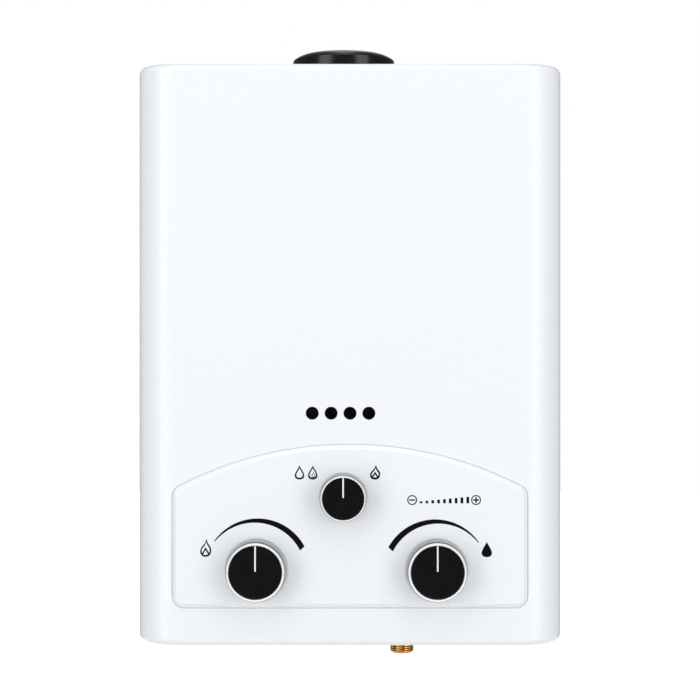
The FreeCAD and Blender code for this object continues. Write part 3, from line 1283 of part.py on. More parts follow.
# --- water side -----------------------------------------------------------------------------------
def water_valve_body():
    """Water valve: flow passage, diaphragm chamber, bosses and the lugs that meet the gas valve."""
    h = WATER_HALF
    body = block(WATER_X0, WATER_X1 + 1, VALVE_Y - h, VALVE_Y + h, SIDE_Z - h, SIDE_Z + h)
    body = body.makeFillet(3.0, [e for e in body.Edges if e.BoundBox.XLength > 20])
    disc = rod(point(WATER_X1, VALVE_Y, SIDE_Z), X, FLANGE_X1 - WATER_X1, CHAMBER_DISC_R)
    outlet = water_outlet_top()
    boss = rod(point(outlet.x, outlet.y, SIDE_Z), Z, outlet.z - SIDE_Z - TOUCH_GAP, COIL_R + UNION_WALL)
    lugs = [block(GAS_BODY_X1 + TOUCH_GAP, WATER_X0 + 1, y - 1.5, y + 1.5, SIDE_Z - 6, SIDE_Z + 6)
            for y in (VALVE_Y - VALVE_HALF + 1.5, VALVE_Y + VALVE_HALF - 1.5)]
    body = join(body, disc, boss, *lugs)
    front = VALVE_Y - h
    cuts = [
        rod(point(WATER_X1 + 4, VALVE_Y, SIDE_Z), X, 20, WATER_CAVITY_R),
        rod(point(WATER_X0 - 1, VALVE_Y, SIDE_Z), X, 50, ROD_R + RUN_GAP),
        rod(point(TEMP_KNOB_X, front - 1, SIDE_Z), Y, 11.0, ROTOR_R + RUN_GAP),
        rod(point(TEMP_KNOB_X, front + 9, SIDE_Z), Y, 4.5, 3.6),
        rod(point(outlet.x, outlet.y, SIDE_Z + 3.5), Z, 40, 4.5),
        rod(point(COLD_X, VALVE_Y + 3.5, SIDE_Z), Y, 40, 5.0),
        rod(point(DRAIN_X, VALVE_Y, SIDE_Z - h - 1), Z, 9.0, DRAIN_R - 1.0 + RUN_GAP),
    ]
    return drilled(body.cut(cuts), clamp_screw_seats(), RUN_GAP)


def water_valve_cover():
    """Domed cover that clamps the diaphragm."""
    x0 = FLANGE_X1 + DIAPHRAGM_T
    cover = rod(point(x0, VALVE_Y, SIDE_Z), X, COVER_FLANGE_T, CHAMBER_DISC_R)
    dome_r = clamp_radius() - SCREW_HEAD_R - 0.3
    dome = cone(point(x0 + 1, VALVE_Y, SIDE_Z), X, COVER_DEPTH - 1, dome_r, dome_r - 2.5)
    body = join(cover, dome)
    far = [e for e in circles(body) if e.BoundBox.XMin > x0 + COVER_DEPTH - 0.1]
    body = body.makeFillet(2.0, far)
    cavity = rod(point(x0 - 1, VALVE_Y, SIDE_Z), X, COVER_DEPTH - 2, dome_r - 4)
    return drilled(body.cut(cavity), clamp_screw_seats(), TOUCH_GAP)


def clamp_radius():
    """Radius of the circle of screws round the diaphragm cover."""
    return CHAMBER_DISC_R - SCREW_HEAD_R


def clamp_screw_seats():
    """Screws round the diaphragm cover."""
    seats = []
    for i in range(CLAMP_SCREWS):
        a = 2 * math.pi * i / CLAMP_SCREWS
        spot = point(FLANGE_X1 + DIAPHRAGM_T + COVER_FLANGE_T, VALVE_Y + clamp_radius() * math.sin(a),
                     SIDE_Z + clamp_radius() * math.cos(a))
        seats.append((spot, -X, COVER_FLANGE_T + DIAPHRAGM_T + 5.0))
    return seats


def diaphragm():
    """Rubber diaphragm between body and cover."""
    disc = rod(point(FLANGE_X1, VALVE_Y, SIDE_Z), X, DIAPHRAGM_T, CHAMBER_DISC_R)
    return drilled(disc, clamp_screw_seats(), TOUCH_GAP)


def push_rod():
    """Rod from the diaphragm plate to the gas valve disc, with the collar beside the switch lever."""
    x0 = SEAT_X - TOUCH_GAP
    x1 = FLANGE_X1 - TOUCH_GAP
    shaft = rod(point(x0, VALVE_Y, SIDE_Z), X, x1 - x0, ROD_R)
    collar = rod(point(COLLAR_X, VALVE_Y, SIDE_Z), X, ROD_COLLAR_T, ROD_COLLAR_R)
    plate = rod(point(x1 - ROD_PLATE_T, VALVE_Y, SIDE_Z), X, ROD_PLATE_T, ROD_PLATE_R)
    return join(shaft, collar, plate)


def water_inlet_fitting():
    """Brass cold inlet: male thread down, hexagon, and an elbow into the water valve."""
    return water_fitting(COLD_X, SIDE_Z + COLD_RISE, True)


def hot_outlet_fitting():
    """Brass hot outlet: male thread down, hexagon, and a seat for the hot pipe."""
    return water_fitting(HOT_X, hot_union().z - TOUCH_GAP, False)


def water_fitting(x, z_top, elbow):
    """A threaded water fitting that stands up from below the case."""
    y = WATER_FITTING_Y
    z_end = BOTTOM - WATER_BELOW
    thread = rod(point(x, y, z_end), Z, WATER_THREAD_L, WATER_THREAD_R)
    thread = thread.makeChamfer(0.8, [e for e in circles(thread) if e.BoundBox.ZMax < z_end + 0.1])
    z_hex = FLOOR_Z
    relief_z = z_end + WATER_THREAD_L - 1
    relief = rod(point(x, y, relief_z), Z, z_hex - relief_z + 1, WATER_THREAD_R - 1.0)
    nut = hexagon(point(x, y, z_hex), Z, 8.0, 2 * WATER_THREAD_R + 3.0)
    stem = rod(point(x, y, z_hex + 7), Z, z_top - z_hex - 7, 9.0 if elbow else COIL_R + UNION_WALL)
    body = join(thread, relief, nut, stem)
    cuts = [rod(point(x, y, z_end - 1), Z, z_top - z_end - (5 if elbow else -2), 5.5 if elbow else 4.8),
            rod(point(x, y, z_end - 1), Z, 6.0, WATER_THREAD_R - 2.5)]
    if elbow:
        reach = y - WATER_BACK_Y - TOUCH_GAP
        body = join(body, rod(point(x, y, SIDE_Z), -Y, reach, 8.5))
        cuts.append(rod(point(x, y, SIDE_Z), -Y, reach + 1, 5.0))
    return body.cut(cuts)


def inlet_filter():
    """Cup-shaped strainer pushed into the cold inlet."""
    z0 = BOTTOM - WATER_BELOW + 5.0 - 1.6
    x, y = COLD_X, WATER_FITTING_Y
    rim = rod(point(x, y, z0), Z, 1.5, WATER_THREAD_R - 2.5 - TOUCH_GAP)
    cup = rod(point(x, y, z0), Z, 13.0, 5.2)
    body = join(rim, cup).cut(rod(point(x, y, z0 - 1), Z, 13.0, 4.4))
    cuts = []
    for row in range(3):
        z = z0 + 4.0 + 3.0 * row
        for side in (X, Y):
            cuts.append(rod(point(x, y, z) - side * 8, side, 16, 0.9))
    return body.cut(cuts)


def drain_plug():
    """Screw plug that drains the water valve against frost."""
    x, z1 = DRAIN_X, SIDE_Z - WATER_HALF
    shank = rod(point(x, VALVE_Y, z1 + 7), -Z, 8.0, DRAIN_R - 1.0)
    neck = rod(point(x, VALVE_Y, z1 - TOUCH_GAP), -Z, z1 - BOTTOM - 4.0, DRAIN_R)
    head = rod(point(x, VALVE_Y, BOTTOM + 5.0), -Z, 9.0, DRAIN_R + 2.4)
    head = head.makeFillet(1.0, circles(head))
    slot_cut = block(x - 0.8, x + 0.8, VALVE_Y - 9, VALVE_Y + 9, BOTTOM - 5, BOTTOM - 2.0)
    return join(shank, neck, head).cut(slot_cut)


def switch_body():
    """Micro-switch on the water valve, with ears that carry the lever's pin."""
    x0 = LEVER_X - 4.0
    z0 = LEVER_Z + 1.8
    half = SWITCH_D / 2
    body = block(x0, x0 + SWITCH_L, VALVE_Y - half, VALVE_Y + half, z0, z0 + SWITCH_H)
    body = body.makeFillet(1.0, [e for e in body.Edges if e.BoundBox.YLength > 8])
    pin_x = LEVER_X + LEVER_T / 2
    ears = [block(pin_x - 1.5, pin_x + 1.5, VALVE_Y + y - 0.5, VALVE_Y + y + 0.5, LEVER_Z - 1.5, z0 + 1)
            for y in (-3.1, 3.1)]
    pin = rod(point(pin_x, VALVE_Y - 3.5, LEVER_Z), Y, 7.0, LEVER_PIN_R)
    button = block(pin_x + 4, pin_x + 6, VALVE_Y - 1, VALVE_Y + 1, LEVER_Z + LEVER_T / 2 + 0.1, z0 + 1)
    foot = block(x0 + SWITCH_L - 5, x0 + SWITCH_L, VALVE_Y - half, VALVE_Y + half,
                 SIDE_Z + WATER_HALF + TOUCH_GAP, z0 + 1)
    blades = [block(x0 + 1.5 + 5 * i, x0 + 4.5 + 5 * i, VALVE_Y - 0.4, VALVE_Y + 0.4, z0 + SWITCH_H - 1,
                    z0 + SWITCH_H + 5) for i in range(3)]
    return join(body, pin, button, foot, *ears, *blades)


def switch_lever():
    """Bell-crank lever: the push rod's collar tips its long arm, the short arm frees the button."""
    pin_x = LEVER_X + LEVER_T / 2
    barrel = rod(point(pin_x, VALVE_Y - 2.4, LEVER_Z), Y, 4.8, LEVER_PIN_R + 0.7)
    arm = block(LEVER_X, LEVER_X + LEVER_T, VALVE_Y - 2, VALVE_Y + 2, SIDE_Z + 3.0, LEVER_Z)
    half = LEVER_T / 2
    short = block(pin_x, pin_x + 6.5, VALVE_Y - 2, VALVE_Y + 2, LEVER_Z - half, LEVER_Z + half)
    hole = rod(point(pin_x, VALVE_Y - 5, LEVER_Z), Y, 10, LEVER_PIN_R + RUN_GAP)
    return join(barrel, arm, short).cut(hole)


# --- battery --------------------------------------------------------------------------------------
def battery_box():
    """Open-bottomed battery box with screw ears and holes for the lid's pins."""
    w = BOX_WALL
    outer = block(BOX_X0, BOX_X1, BOX_FRONT, BOX_BACK, BOX_Z0, BOX_Z1)
    top_edges = [e for e in outer.Edges if e.BoundBox.XLength > 50 and e.BoundBox.ZMin > BOX_Z1 - 1]
    outer = outer.makeFillet(3.0, top_edges)
    inner = block(BOX_X0 + w, BOX_X1 - w, BOX_FRONT + w, BOX_BACK - w, BOX_Z0 - 1, BOX_Z1 - w)
    catches = [block(x - 3, x + 3, BOX_FRONT + w - 0.5, BOX_FRONT + w + 1.2, BOX_Z0 + LID_T + 0.3,
                     BOX_Z0 + LID_T + 1.5) for x in (BOX_X0 + 30, BOX_X1 - 30)]
    ears = [block(x - EAR / 2, x + EAR / 2, CELL_Y - 6, CELL_Y + 6, FLOOR_Z, FLOOR_Z + EAR_T)
            for x in (BOX_X0 - EAR / 2 + 0.5, BOX_X1 + EAR / 2 - 0.5)]
    pin = lid_axis()
    box = join(outer.cut(inner), *catches, *ears)
    box = box.cut(rod(point(BOX_X0 - 1, pin.y, pin.z), X, BOX_X1 - BOX_X0 + 2, LID_PIN_R + RUN_GAP))
    return drilled(box, box_screw_seats(), TOUCH_GAP)


def lid_axis():
    """A point on the battery lid's hinge axis."""
    return point(0, BOX_BACK - BOX_WALL - LID_PIN_R - 0.5, BOX_Z0 + LID_PIN_R + 0.3)


def box_screw_seats():
    """Screws through the battery box's two ears."""
    z = FLOOR_Z + EAR_T
    return [(point(x, CELL_Y, z), -Z, EAR_T + CHASSIS_T + TOUCH_GAP)
            for x in (BOX_X0 - EAR / 2, BOX_X1 + EAR / 2)]


def battery_lid():
    """Lid with its two moulded hinge pins and a finger grip."""
    w = BOX_WALL + FIT_GAP
    pin = lid_axis()
    x0, x1 = BOX_X0 + w, BOX_X1 - w
    plate = block(x0, x1, BOX_FRONT + w, pin.y, BOX_Z0, BOX_Z0 + LID_T)
    barrel = rod(point(x0, pin.y, pin.z), X, x1 - x0, LID_PIN_R + 0.3)
    pins = rod(point(BOX_X0, pin.y, pin.z), X, BOX_X1 - BOX_X0, LID_PIN_R)
    grips = [block(-GRIP_HALF, GRIP_HALF, y, y + 1.2, BOX_Z0 + LID_T * 0.7, BOX_Z0 + LID_T)
             for y in (BOX_FRONT + w + 4 + 2.4 * i for i in range(4))]
    grips = [g.translated(Z * -LID_T * 0.7) for g in grips]
    return join(plate, barrel, pins).cut(grips)


def battery_cells():
    """Two D cells in line."""
    cells = []
    x = BOX_X0 + BOX_WALL + 5.0
    for _ in range(2):
        can = rod(point(x, CELL_Y, CELL_Z), X, CELL_L - 1.8, CELL_R)
        can = can.makeFillet(1.0, circles(can))
        nub = rod(point(x + CELL_L - 2.0, CELL_Y, CELL_Z), X, 1.9, 4.5)
        cells.append(join(can, nub))
        x += CELL_L
    return Part.makeCompound(cells)


def battery_contacts():
    """Contact spring at one end and contact plate at the other."""
    x0 = BOX_X0 + BOX_WALL
    spring = coil_spring(point(x0 + 0.5, CELL_Y, CELL_Z), X, 4.4, 6.0, 0.4, 2.5)
    back = block(x0, x0 + 0.4, CELL_Y - 9, CELL_Y + 9, CELL_Z - 9, CELL_Z + 9)
    x1 = BOX_X1 - BOX_WALL
    front = block(x1 - 0.8, x1, CELL_Y - 9, CELL_Y + 9, CELL_Z - 9, CELL_Z + 9)
    return Part.makeCompound([back, spring, front])


# --- knobs ----------------------------------------------------------------------------------------
def star(x, y, z, radius):
    """A closed outline with shallow teeth, for a knurled grip."""
    corners = []
    for i in range(2 * KNURL_COUNT):
        r = radius - (KNURL_DEPTH if i % 2 else 0)
        a = math.pi * i / KNURL_COUNT
        corners.append(point(x + r * math.cos(a), y, z + r * math.sin(a)))
    return Part.makePolygon(corners + corners[:1])


def knob_body(x, z, base_r, front_r, height, ring):
    """Hollow knurled knob with a smooth front ring, a seat for the face and a hub."""
    y0 = PANEL_FACE - KNOB_GAP
    y1 = y0 - height
    ring_y = y1 + KNOB_RING_DEPTH
    grip = Part.makeLoft([star(x, y0, z, base_r), star(x, ring_y, z, front_r)], True, True)
    band = cone(point(x, ring_y + 0.01, z), -Y, KNOB_RING_DEPTH + 0.01, front_r, front_r - RING_BEVEL * ring)
    hub_end = PANEL_FACE + HUB_INSIDE
    hub = rod(point(x, hub_end, z), -Y, hub_end - y1 - INSERT_T, HUB_R)
    insert_r = front_r - ring
    cavity_r = front_r - KNOB_WALL - KNURL_DEPTH
    floor_y = y1 + INSERT_T + KNOB_WALL
    cavity = rod(point(x, y0 + 1, z), -Y, y0 + 1 - floor_y, cavity_r)
    seat = rod(point(x, y1 + INSERT_T, z), -Y, INSERT_T + 1, insert_r + TOUCH_GAP)
    body = grip.fuse(band).cut([cavity, seat]).fuse(hub)
    socket = rod(point(x, hub_end + 1, z), -Y, hub_end + 1 - floor_y, SPINDLE_R + RUN_GAP)
    flat_z = z + SPINDLE_R - SPINDLE_FLAT + RUN_GAP
    socket = socket.cut(block(x - 5, x + 5, y1 - 1, hub_end + 2, flat_z, z + 6))
    return body.cut(socket).removeSplitter()


def knob_face(x, z, front_r, height, ring):
    """Face insert with a pointer groove from its rim to its centre."""
    y1 = PANEL_FACE - KNOB_GAP - height
    radius = front_r - ring
    disc = rod(point(x, y1 + INSERT_T - 0.02, z), -Y, INSERT_T - 0.02, radius)
    disc = disc.makeFillet(0.3, [e for e in circles(disc) if e.BoundBox.YMax < y1 + 0.5])
    half = POINTER_W / 2
    groove = block(x - half, x + half, y1 - 1, y1 + POINTER_DEPTH, z + 0.6, z + radius + 1)
    return disc.cut(groove)


def knobs():
    """Bodies and faces of the three knobs, by node name."""
    made = {}
    side = (SIDE_BASE_R, SIDE_FRONT_R, SIDE_KNOB_H, SIDE_RING)
    season = (SEASON_BASE_R, SEASON_FRONT_R, SEASON_KNOB_H, SEASON_RING)
    places = {"gas": (GAS_KNOB_X, SIDE_Z, side), "season": (SEASON_KNOB_X, SEASON_Z, season),
              "temperature": (TEMP_KNOB_X, SIDE_Z, side)}
    for name, (x, z, (base_r, *front)) in places.items():
        made[name + "_knob_body"] = knob_body(x, z, base_r, *front)
        made[name + "_knob_face"] = knob_face(x, z, *front)
    return made


# --- fasteners ------------------------------------------------------------------------------------


def case_screws():
    """Screws of the cover, collar, chassis plates, burner frame, bracket, igniter and battery box."""
    seats = (cover_screw_seats() + collar_screw_seats() + tab_screw_seats() + frame_screw_seats()
             + bracket_screw_seats() + igniter_screw_seats() + box_screw_seats())
    return Part.makeCompound([screw(*seat) for seat in seats])


def valve_screws():
    """Screws round the diaphragm cover."""
    return Part.makeCompound([screw(*seat) for seat in clamp_screw_seats()])


PIECES = [
    front_cover, back_plate, top_plate, bottom_plate, flue_collar, exhaust_hood, exchanger_shell,
    exchanger_fins, fin_tubes, chamber_coil, hot_pipe, pipe_nuts, thermostat, burner_bars,
    burner_frame, gas_manifold, gas_nozzles, electrode_ceramics, electrode_rods, electrode_bracket,
    igniter_box, ignition_leads, control_leads, gas_valve_body, gas_distributor, gas_spindle,
    season_spindle, temperature_spindle, gland_nuts, valve_seat, guide_plug, valve_disc,
    valve_spring, solenoid_can, solenoid_plunger, solenoid_spring, gas_inlet_fitting, valve_bracket,
    water_valve_body, water_valve_cover, diaphragm, push_rod, water_inlet_fitting,
    hot_outlet_fitting, inlet_filter, drain_plug, switch_body, switch_lever, battery_box,
    battery_lid, battery_cells, battery_contacts, case_screws, valve_screws,
]


def main():
    """Builds every piece and writes one STEP file for each."""
    os.makedirs("parts", exist_ok=True)
    made = {piece.__name__: piece() for piece in PIECES}
    made.update(knobs())
    for name, shape in made.items():
        shape.exportStep(os.path.join("parts", name + ".step"))
        print(f"{name:24s} solids {len(shape.Solids):3d} valid {shape.isValid()} volume {shape.Volume:9.1f}")


main()
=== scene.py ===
"""Looks of a wall-hung propane water heater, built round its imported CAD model.

Metres throughout. +Z is up, -Y is towards the user and the wall is the plane y = 0. Finishes come
first, then one class for each sub-assembly that is built anew, then the studio, and main() last.
"""

import logging
import math
from dataclasses import dataclass, field
from enum import Enum
from typing import Iterable, Sequence

import bmesh
import bpy
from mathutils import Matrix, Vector
from mathutils.geometry import delaunay_2d_cdt


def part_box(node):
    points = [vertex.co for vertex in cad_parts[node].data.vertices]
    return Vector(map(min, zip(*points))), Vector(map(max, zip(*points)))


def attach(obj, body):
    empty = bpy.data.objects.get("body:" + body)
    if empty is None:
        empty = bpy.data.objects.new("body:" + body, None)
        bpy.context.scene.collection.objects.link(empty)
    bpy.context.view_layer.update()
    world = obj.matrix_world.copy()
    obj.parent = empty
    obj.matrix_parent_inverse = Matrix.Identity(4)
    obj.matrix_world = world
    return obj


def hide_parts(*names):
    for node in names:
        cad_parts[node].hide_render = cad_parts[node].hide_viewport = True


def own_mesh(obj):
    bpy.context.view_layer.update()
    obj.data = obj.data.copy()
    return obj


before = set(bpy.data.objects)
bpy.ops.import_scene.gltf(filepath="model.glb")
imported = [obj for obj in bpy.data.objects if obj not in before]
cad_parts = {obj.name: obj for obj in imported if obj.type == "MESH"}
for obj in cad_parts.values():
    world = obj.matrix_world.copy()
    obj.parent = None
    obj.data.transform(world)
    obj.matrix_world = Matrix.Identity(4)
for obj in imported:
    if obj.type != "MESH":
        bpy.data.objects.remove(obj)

Colour = tuple[float, float, float]
Pair = tuple[float, float]
Ring = list[bmesh.types.BMVert]
Socket = bpy.types.NodeSocket

LOG = logging.getLogger("heater")
MM = 0.001
WHITE = (1.0, 1.0, 1.0, 1.0)
BLACK = (0.0, 0.0, 0.0, 1.0)
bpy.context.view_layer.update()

GAS_KNOB: Pair = (-0.0594, -0.1365)
TEMPERATURE_KNOB: Pair = (0.0549, -0.1365)
SEASON_KNOB: Pair = (-0.0043, -0.0903)


def place(name: str, data: bpy.types.ID) -> bpy.types.Object:
    """Adds an object to the scene.

    Args:
        name: the object's name.
        data: its mesh, lamp or camera.

    Returns:
        The new object.
    """
    made = bpy.data.objects.new(name, data)
    bpy.context.scene.collection.objects.link(made)
    return made


# --- finishes -------------------------------------------------------------------------------------
class Relief(Enum):
    """Kinds of fine surface relief."""

    ORANGE_PEEL = "soft waves of sprayed enamel"
    CAST = "sandy skin of a die casting"
    LINES = "fine parallel lines left by rolling, drawing or turning"
    FACED = "fine rings left by facing, round the piece's own Y axis"
    SPANGLE = "zinc crystals"
    MOULDED = "fine grain of a moulding tool"


class Graph:
    """A node tree, written one node at a time."""

    def __init__(self, tree: bpy.types.NodeTree) -> None:
        """Takes the tree to write in."""
        self.tree = tree

    def put(self, socket: Socket, value: object) -> None:
        """Sets an input to a constant, or links another node's output to it.

        Args:
            socket: the input.
            value: the constant or the output.
        """
        if isinstance(value, Socket):
            self.tree.links.new(value, socket)
        else:
            socket.default_value = value

    def add(self, kind: str, **values: object) -> bpy.types.Node:
        """Adds a node.

        Args:
            kind: Blender's name of the node type.
            values: constants or sockets for its inputs, by input name with _ for a space, and
                settings of the node itself, with set_ before their names.

        Returns:
            The new node.
        """
        made = self.tree.nodes.new(kind)
        for key, value in values.items():
            if key.startswith("set_"):
                setattr(made, key[4:], value)
            else:
                self.put(made.inputs[key.replace("_", " ")], value)
        return made

    def reckon(self, operation: str, *values: object, kind: str = "ShaderNodeMath") -> bpy.types.Node:
        """Adds a Math node, or another whose inputs go by their order.

        Args:
            operation: what it works out.
            values: constants or sockets for its inputs, in order.
            kind: Blender's name of the node type.

        Returns:
            The new node.
        """
        made = self.add(kind, set_operation=operation)
        for socket, value in zip(made.inputs, values):
            self.put(socket, value)
        return made

    def coordinates(self, stretch: Colour = (1.0, 1.0, 1.0)) -> Socket:
        """The piece's own coordinates in metres, scaled by stretch."""
        own = self.add("ShaderNodeTexCoord").outputs["Object"]
        return self.add("ShaderNodeMapping", Vector=own, Scale=stretch).outputs["Vector"]

    def noise(self, vector: Socket, scale: float, detail: float) -> Socket:
        """Noise from 0 to 1 with scale features per metre."""
        return self.add("ShaderNodeTexNoise", Vector=vector, Scale=scale, Detail=detail).outputs[0]

    def spread(self, value: Socket, low: float, high: float) -> Socket:
        """Stretches noise to run from low to high.

        Args:
            value: the noise.
            low: what its dark parts become.
            high: what its bright parts become.

        Returns:
            The stretched value.
        """
        made = self.add("ShaderNodeMapRange", Value=value, From_Min=0.3, From_Max=0.7,
                        To_Min=low, To_Max=high)
        return made.outputs["Result"]

    def ramp(self, value: Socket, stops: Sequence[tuple[float, Colour]], smooth: bool = True) -> Socket:
        """A colour ramp over value.

        Args:
            value: runs from 0 to 1.
            stops: places and colours.
            smooth: whether the colours blend, rather than change at once.

        Returns:
            The colour.
        """
        made = self.add("ShaderNodeValToRGB", Fac=value)
        made.color_ramp.interpolation = "LINEAR" if smooth else "CONSTANT"
        elements = made.color_ramp.elements
        for _ in stops[2:]:
            elements.new(0.5)
        for element, (spot, colour) in zip(elements, stops):
            element.position = spot
            element.color = (*colour, 1.0)
        return made.outputs["Color"]

    def rays(self) -> Socket:
        """Tells the rays that show the studio from those that only light the heater.

        Returns:
            A value that is 1 for camera, glossy and transmission rays and 0 for the rest.
        """
        kinds = self.add("ShaderNodeLightPath").outputs
        value = kinds["Is Camera Ray"]
        for other in ("Is Glossy Ray", "Is Transmission Ray"):
            value = self.reckon("MAXIMUM", value, kinds[other]).outputs[0]
        return value


class Surface(Graph):
    """A material's nodes, which end in one Principled shader."""

    def __init__(self, name: str) -> None:
        """Starts the material.

        Args:
            name: the material's name.
        """
        self.material = bpy.data.materials.new(name)
        self.material.use_nodes = True
        super().__init__(self.material.node_tree)
        self.tree.nodes.clear()
        self.shader = self.add("ShaderNodeBsdfPrincipled")
        self.add("ShaderNodeOutputMaterial", Surface=self.shader.outputs["BSDF"])

    def feed(self, **values: object) -> None:
        """Sets the shader's inputs, by name with _ for a space."""
        for key, value in values.items():
            self.put(self.shader.inputs[key.replace("_", " ")], value)


@dataclass(frozen=True)
class Finish:
    """A surface finish: its colour, how it reflects, and its fine relief.

    patch counts the slow changes of tone per metre, grain the features of the relief per metre, and
    depth is the relief's height in metres. stretch scales the relief's coordinates.
    """

    name: str
    colour: Colour
    shade: Colour
    roughness: float
    drift: float = 0.03
    metallic: float = 0.0
    specular: float = 0.5
    coat: float = 0.0
    coat_roughness: float = 0.05
    patch: float = 25.0
    relief: Relief = Relief.MOULDED
    grain: float = 2500.0
    depth: float = 4e-6
    stretch: Colour = (1.0, 1.0, 1.0)

    def material(self) -> bpy.types.Material:
        """The finish as a material, made once."""
        known = bpy.data.materials.get(self.name + "_finish")
        return known or self.made()

    def made(self) -> bpy.types.Material:
        """Builds the material's nodes.

        Returns:
            The new material.
        """
        graph = Surface(self.name + "_finish")
        graph.feed(Metallic=self.metallic, Specular_IOR_Level=self.specular, Coat_Weight=self.coat,
                   Coat_Roughness=self.coat_roughness, Base_Color=self.tone(graph))
        cloud = graph.noise(graph.coordinates(), self.patch * 1.7, 3.0)
        bump = graph.add("ShaderNodeBump", Height=self.height(graph), Distance=self.depth)
        graph.feed(Roughness=graph.spread(cloud, self.roughness - self.drift, self.roughness + self.drift),
                   Normal=bump.outputs["Normal"])
        return graph.material

    def tone(self, graph: Graph) -> Socket:
        """The colour, drifting between the two tones.

        Args:
            graph: the nodes to add to.

        Returns:
            The colour.
        """
        if self.relief is Relief.SPANGLE:
            cells = graph.add("ShaderNodeTexVoronoi", Vector=graph.coordinates(), Scale=self.grain)
            tint = graph.add("ShaderNodeSeparateColor", Color=cells.outputs["Color"]).outputs[0]
            return graph.ramp(tint, [(0.1, self.shade), (0.9, self.colour)])
        cloud = graph.noise(graph.coordinates(), self.patch, 4.0)
        return graph.ramp(cloud, [(0.28, self.shade), (0.72, self.colour)])

    def height(self, graph: Graph) -> Socket:
        """The relief's height.

        Args:
            graph: the nodes to add to.

        Returns:
            A value from 0 to 1.
        """
        if self.relief is Relief.FACED:
            axes = graph.add("ShaderNodeSeparateXYZ", Vector=graph.coordinates()).outputs
            flat = graph.add("ShaderNodeCombineXYZ", X=axes[0], Y=axes[2]).outputs[0]
            radius = graph.reckon("LENGTH", flat, kind="ShaderNodeVectorMath")
            along = graph.add("ShaderNodeCombineXYZ", X=radius.outputs["Value"]).outputs[0]
            return graph.noise(along, self.grain, 2.0)
        detail = {Relief.ORANGE_PEEL: 1.0, Relief.CAST: 8.0, Relief.SPANGLE: 1.0}.get(self.relief, 3.0)
        return graph.noise(graph.coordinates(self.stretch), self.grain, detail)


@dataclass(frozen=True)
class HeatedCopper(Finish):
    """Copper that the burner has tinted: brown and violet bands that fade upwards."""

    hot_z: float = -0.027
    cool_z: float = 0.09
    ragged: float = 0.35
    violet: Colour = (0.30, 0.10, 0.09)
    brown: Colour = (0.62, 0.26, 0.13)

    def tone(self, graph: Graph) -> Socket:
        """Colour by height above the burner, broken up by noise.

        Args:
            graph: the nodes to add to.

        Returns:
            The colour.
        """
        own = graph.coordinates()
        height = graph.add("ShaderNodeSeparateXYZ", Vector=own).outputs[2]
        level = graph.add("ShaderNodeMapRange", Value=height, From_Min=self.hot_z, From_Max=self.cool_z)
        cloud = graph.noise(own, self.patch, 4.0)
        mixed = graph.reckon("MULTIPLY_ADD", cloud, self.ragged, level.outputs["Result"])
        stops = [(0.05, self.shade), (0.3, self.violet), (0.5, self.brown), (1.0, self.colour)]
        return graph.ramp(mixed.outputs[0], stops)


@dataclass(frozen=True)
class CellJacket(Finish):
    """Dry cells in a row along X: a dark sleeve with a tan band, and bare steel at each end.

    first is where the first cell starts and pitch how long each is. bare and band are shares of it.
    """

    first: float = -0.0614
    pitch: float = 0.061
    bare: float = 0.05
    band: float = 0.72
    steel: Colour = (0.55, 0.55, 0.56)

    def tone(self, graph: Graph) -> Socket:
        """Steel at each cell's two ends and the sleeve's colours between.

        Args:
            graph: the nodes to add to.

        Returns:
            The colour.
        """
        along = graph.add("ShaderNodeSeparateXYZ", Vector=graph.coordinates()).outputs[0]
        turns = graph.add("ShaderNodeMapRange", Value=along, From_Min=self.first,
                          From_Max=self.first + self.pitch, set_clamp=False)
        share = graph.reckon("FRACT", turns.outputs["Result"])
        stops = [(0.0, self.steel), (self.bare, self.colour), (self.band, self.shade),
                 (1.0 - self.bare, self.steel)]
        return graph.ramp(share.outputs[0], stops, smooth=False)


ALONG_X = (0.03, 1.0, 1.0)
ALONG_Z = (1.0, 1.0, 0.03)
ROUND_Z = (0.04, 0.04, 1.0)

WHITE_ENAMEL = Finish("white_enamel", (0.8635, 0.8855, 0.9155), (0.858, 0.880, 0.910), 0.3, 0.04,
                      specular=0.4, coat=0.2, coat_roughness=0.06, patch=450.0,
                      relief=Relief.ORANGE_PEEL, grain=420.0, depth=7e-6)
BLACK_ENAMEL = Finish("black_enamel", (0.006, 0.006, 0.0065), (0.0045, 0.0045, 0.005), 0.2, 0.04,
                      specular=0.5, patch=60.0, relief=Relief.ORANGE_PEEL, grain=600.0, depth=5e-6)
ZINC_SHEET = Finish("zinc_sheet", (0.60, 0.61, 0.625), (0.535, 0.547, 0.565), 0.44, 0.1, metallic=1.0,
                    patch=60.0, relief=Relief.SPANGLE, grain=230.0, depth=2e-6)
COPPER = Finish("copper", (0.86, 0.42, 0.25), (0.66, 0.28, 0.16), 0.32, 0.08, metallic=1.0, patch=45.0,
                relief=Relief.LINES, grain=3000.0, depth=4e-6, stretch=ALONG_X)
HOT_COPPER = HeatedCopper("hot_copper", (0.84, 0.40, 0.24), (0.10, 0.055, 0.075), 0.36, 0.08, metallic=1.0,
                          patch=38.0, relief=Relief.LINES, grain=2200.0, depth=4e-6, stretch=ALONG_Z)
BRASS = Finish("brass", (0.95, 0.64, 0.18), (0.84, 0.50, 0.11), 0.24, 0.07, metallic=1.0, patch=120.0,
               relief=Relief.LINES, grain=5200.0, depth=5e-6, stretch=ROUND_Z)
DIE_CAST = Finish("die_cast", (0.60, 0.60, 0.61), (0.47, 0.47, 0.48), 0.46, 0.07, metallic=1.0, patch=55.0,
                  relief=Relief.CAST, grain=1400.0, depth=2.4e-5)
BURNER_STEEL = Finish("burner_steel", (0.56, 0.54, 0.51), (0.33, 0.27, 0.24), 0.36, 0.08, metallic=1.0,
                      patch=22.0, relief=Relief.LINES, grain=2600.0, depth=4e-6, stretch=ALONG_X)
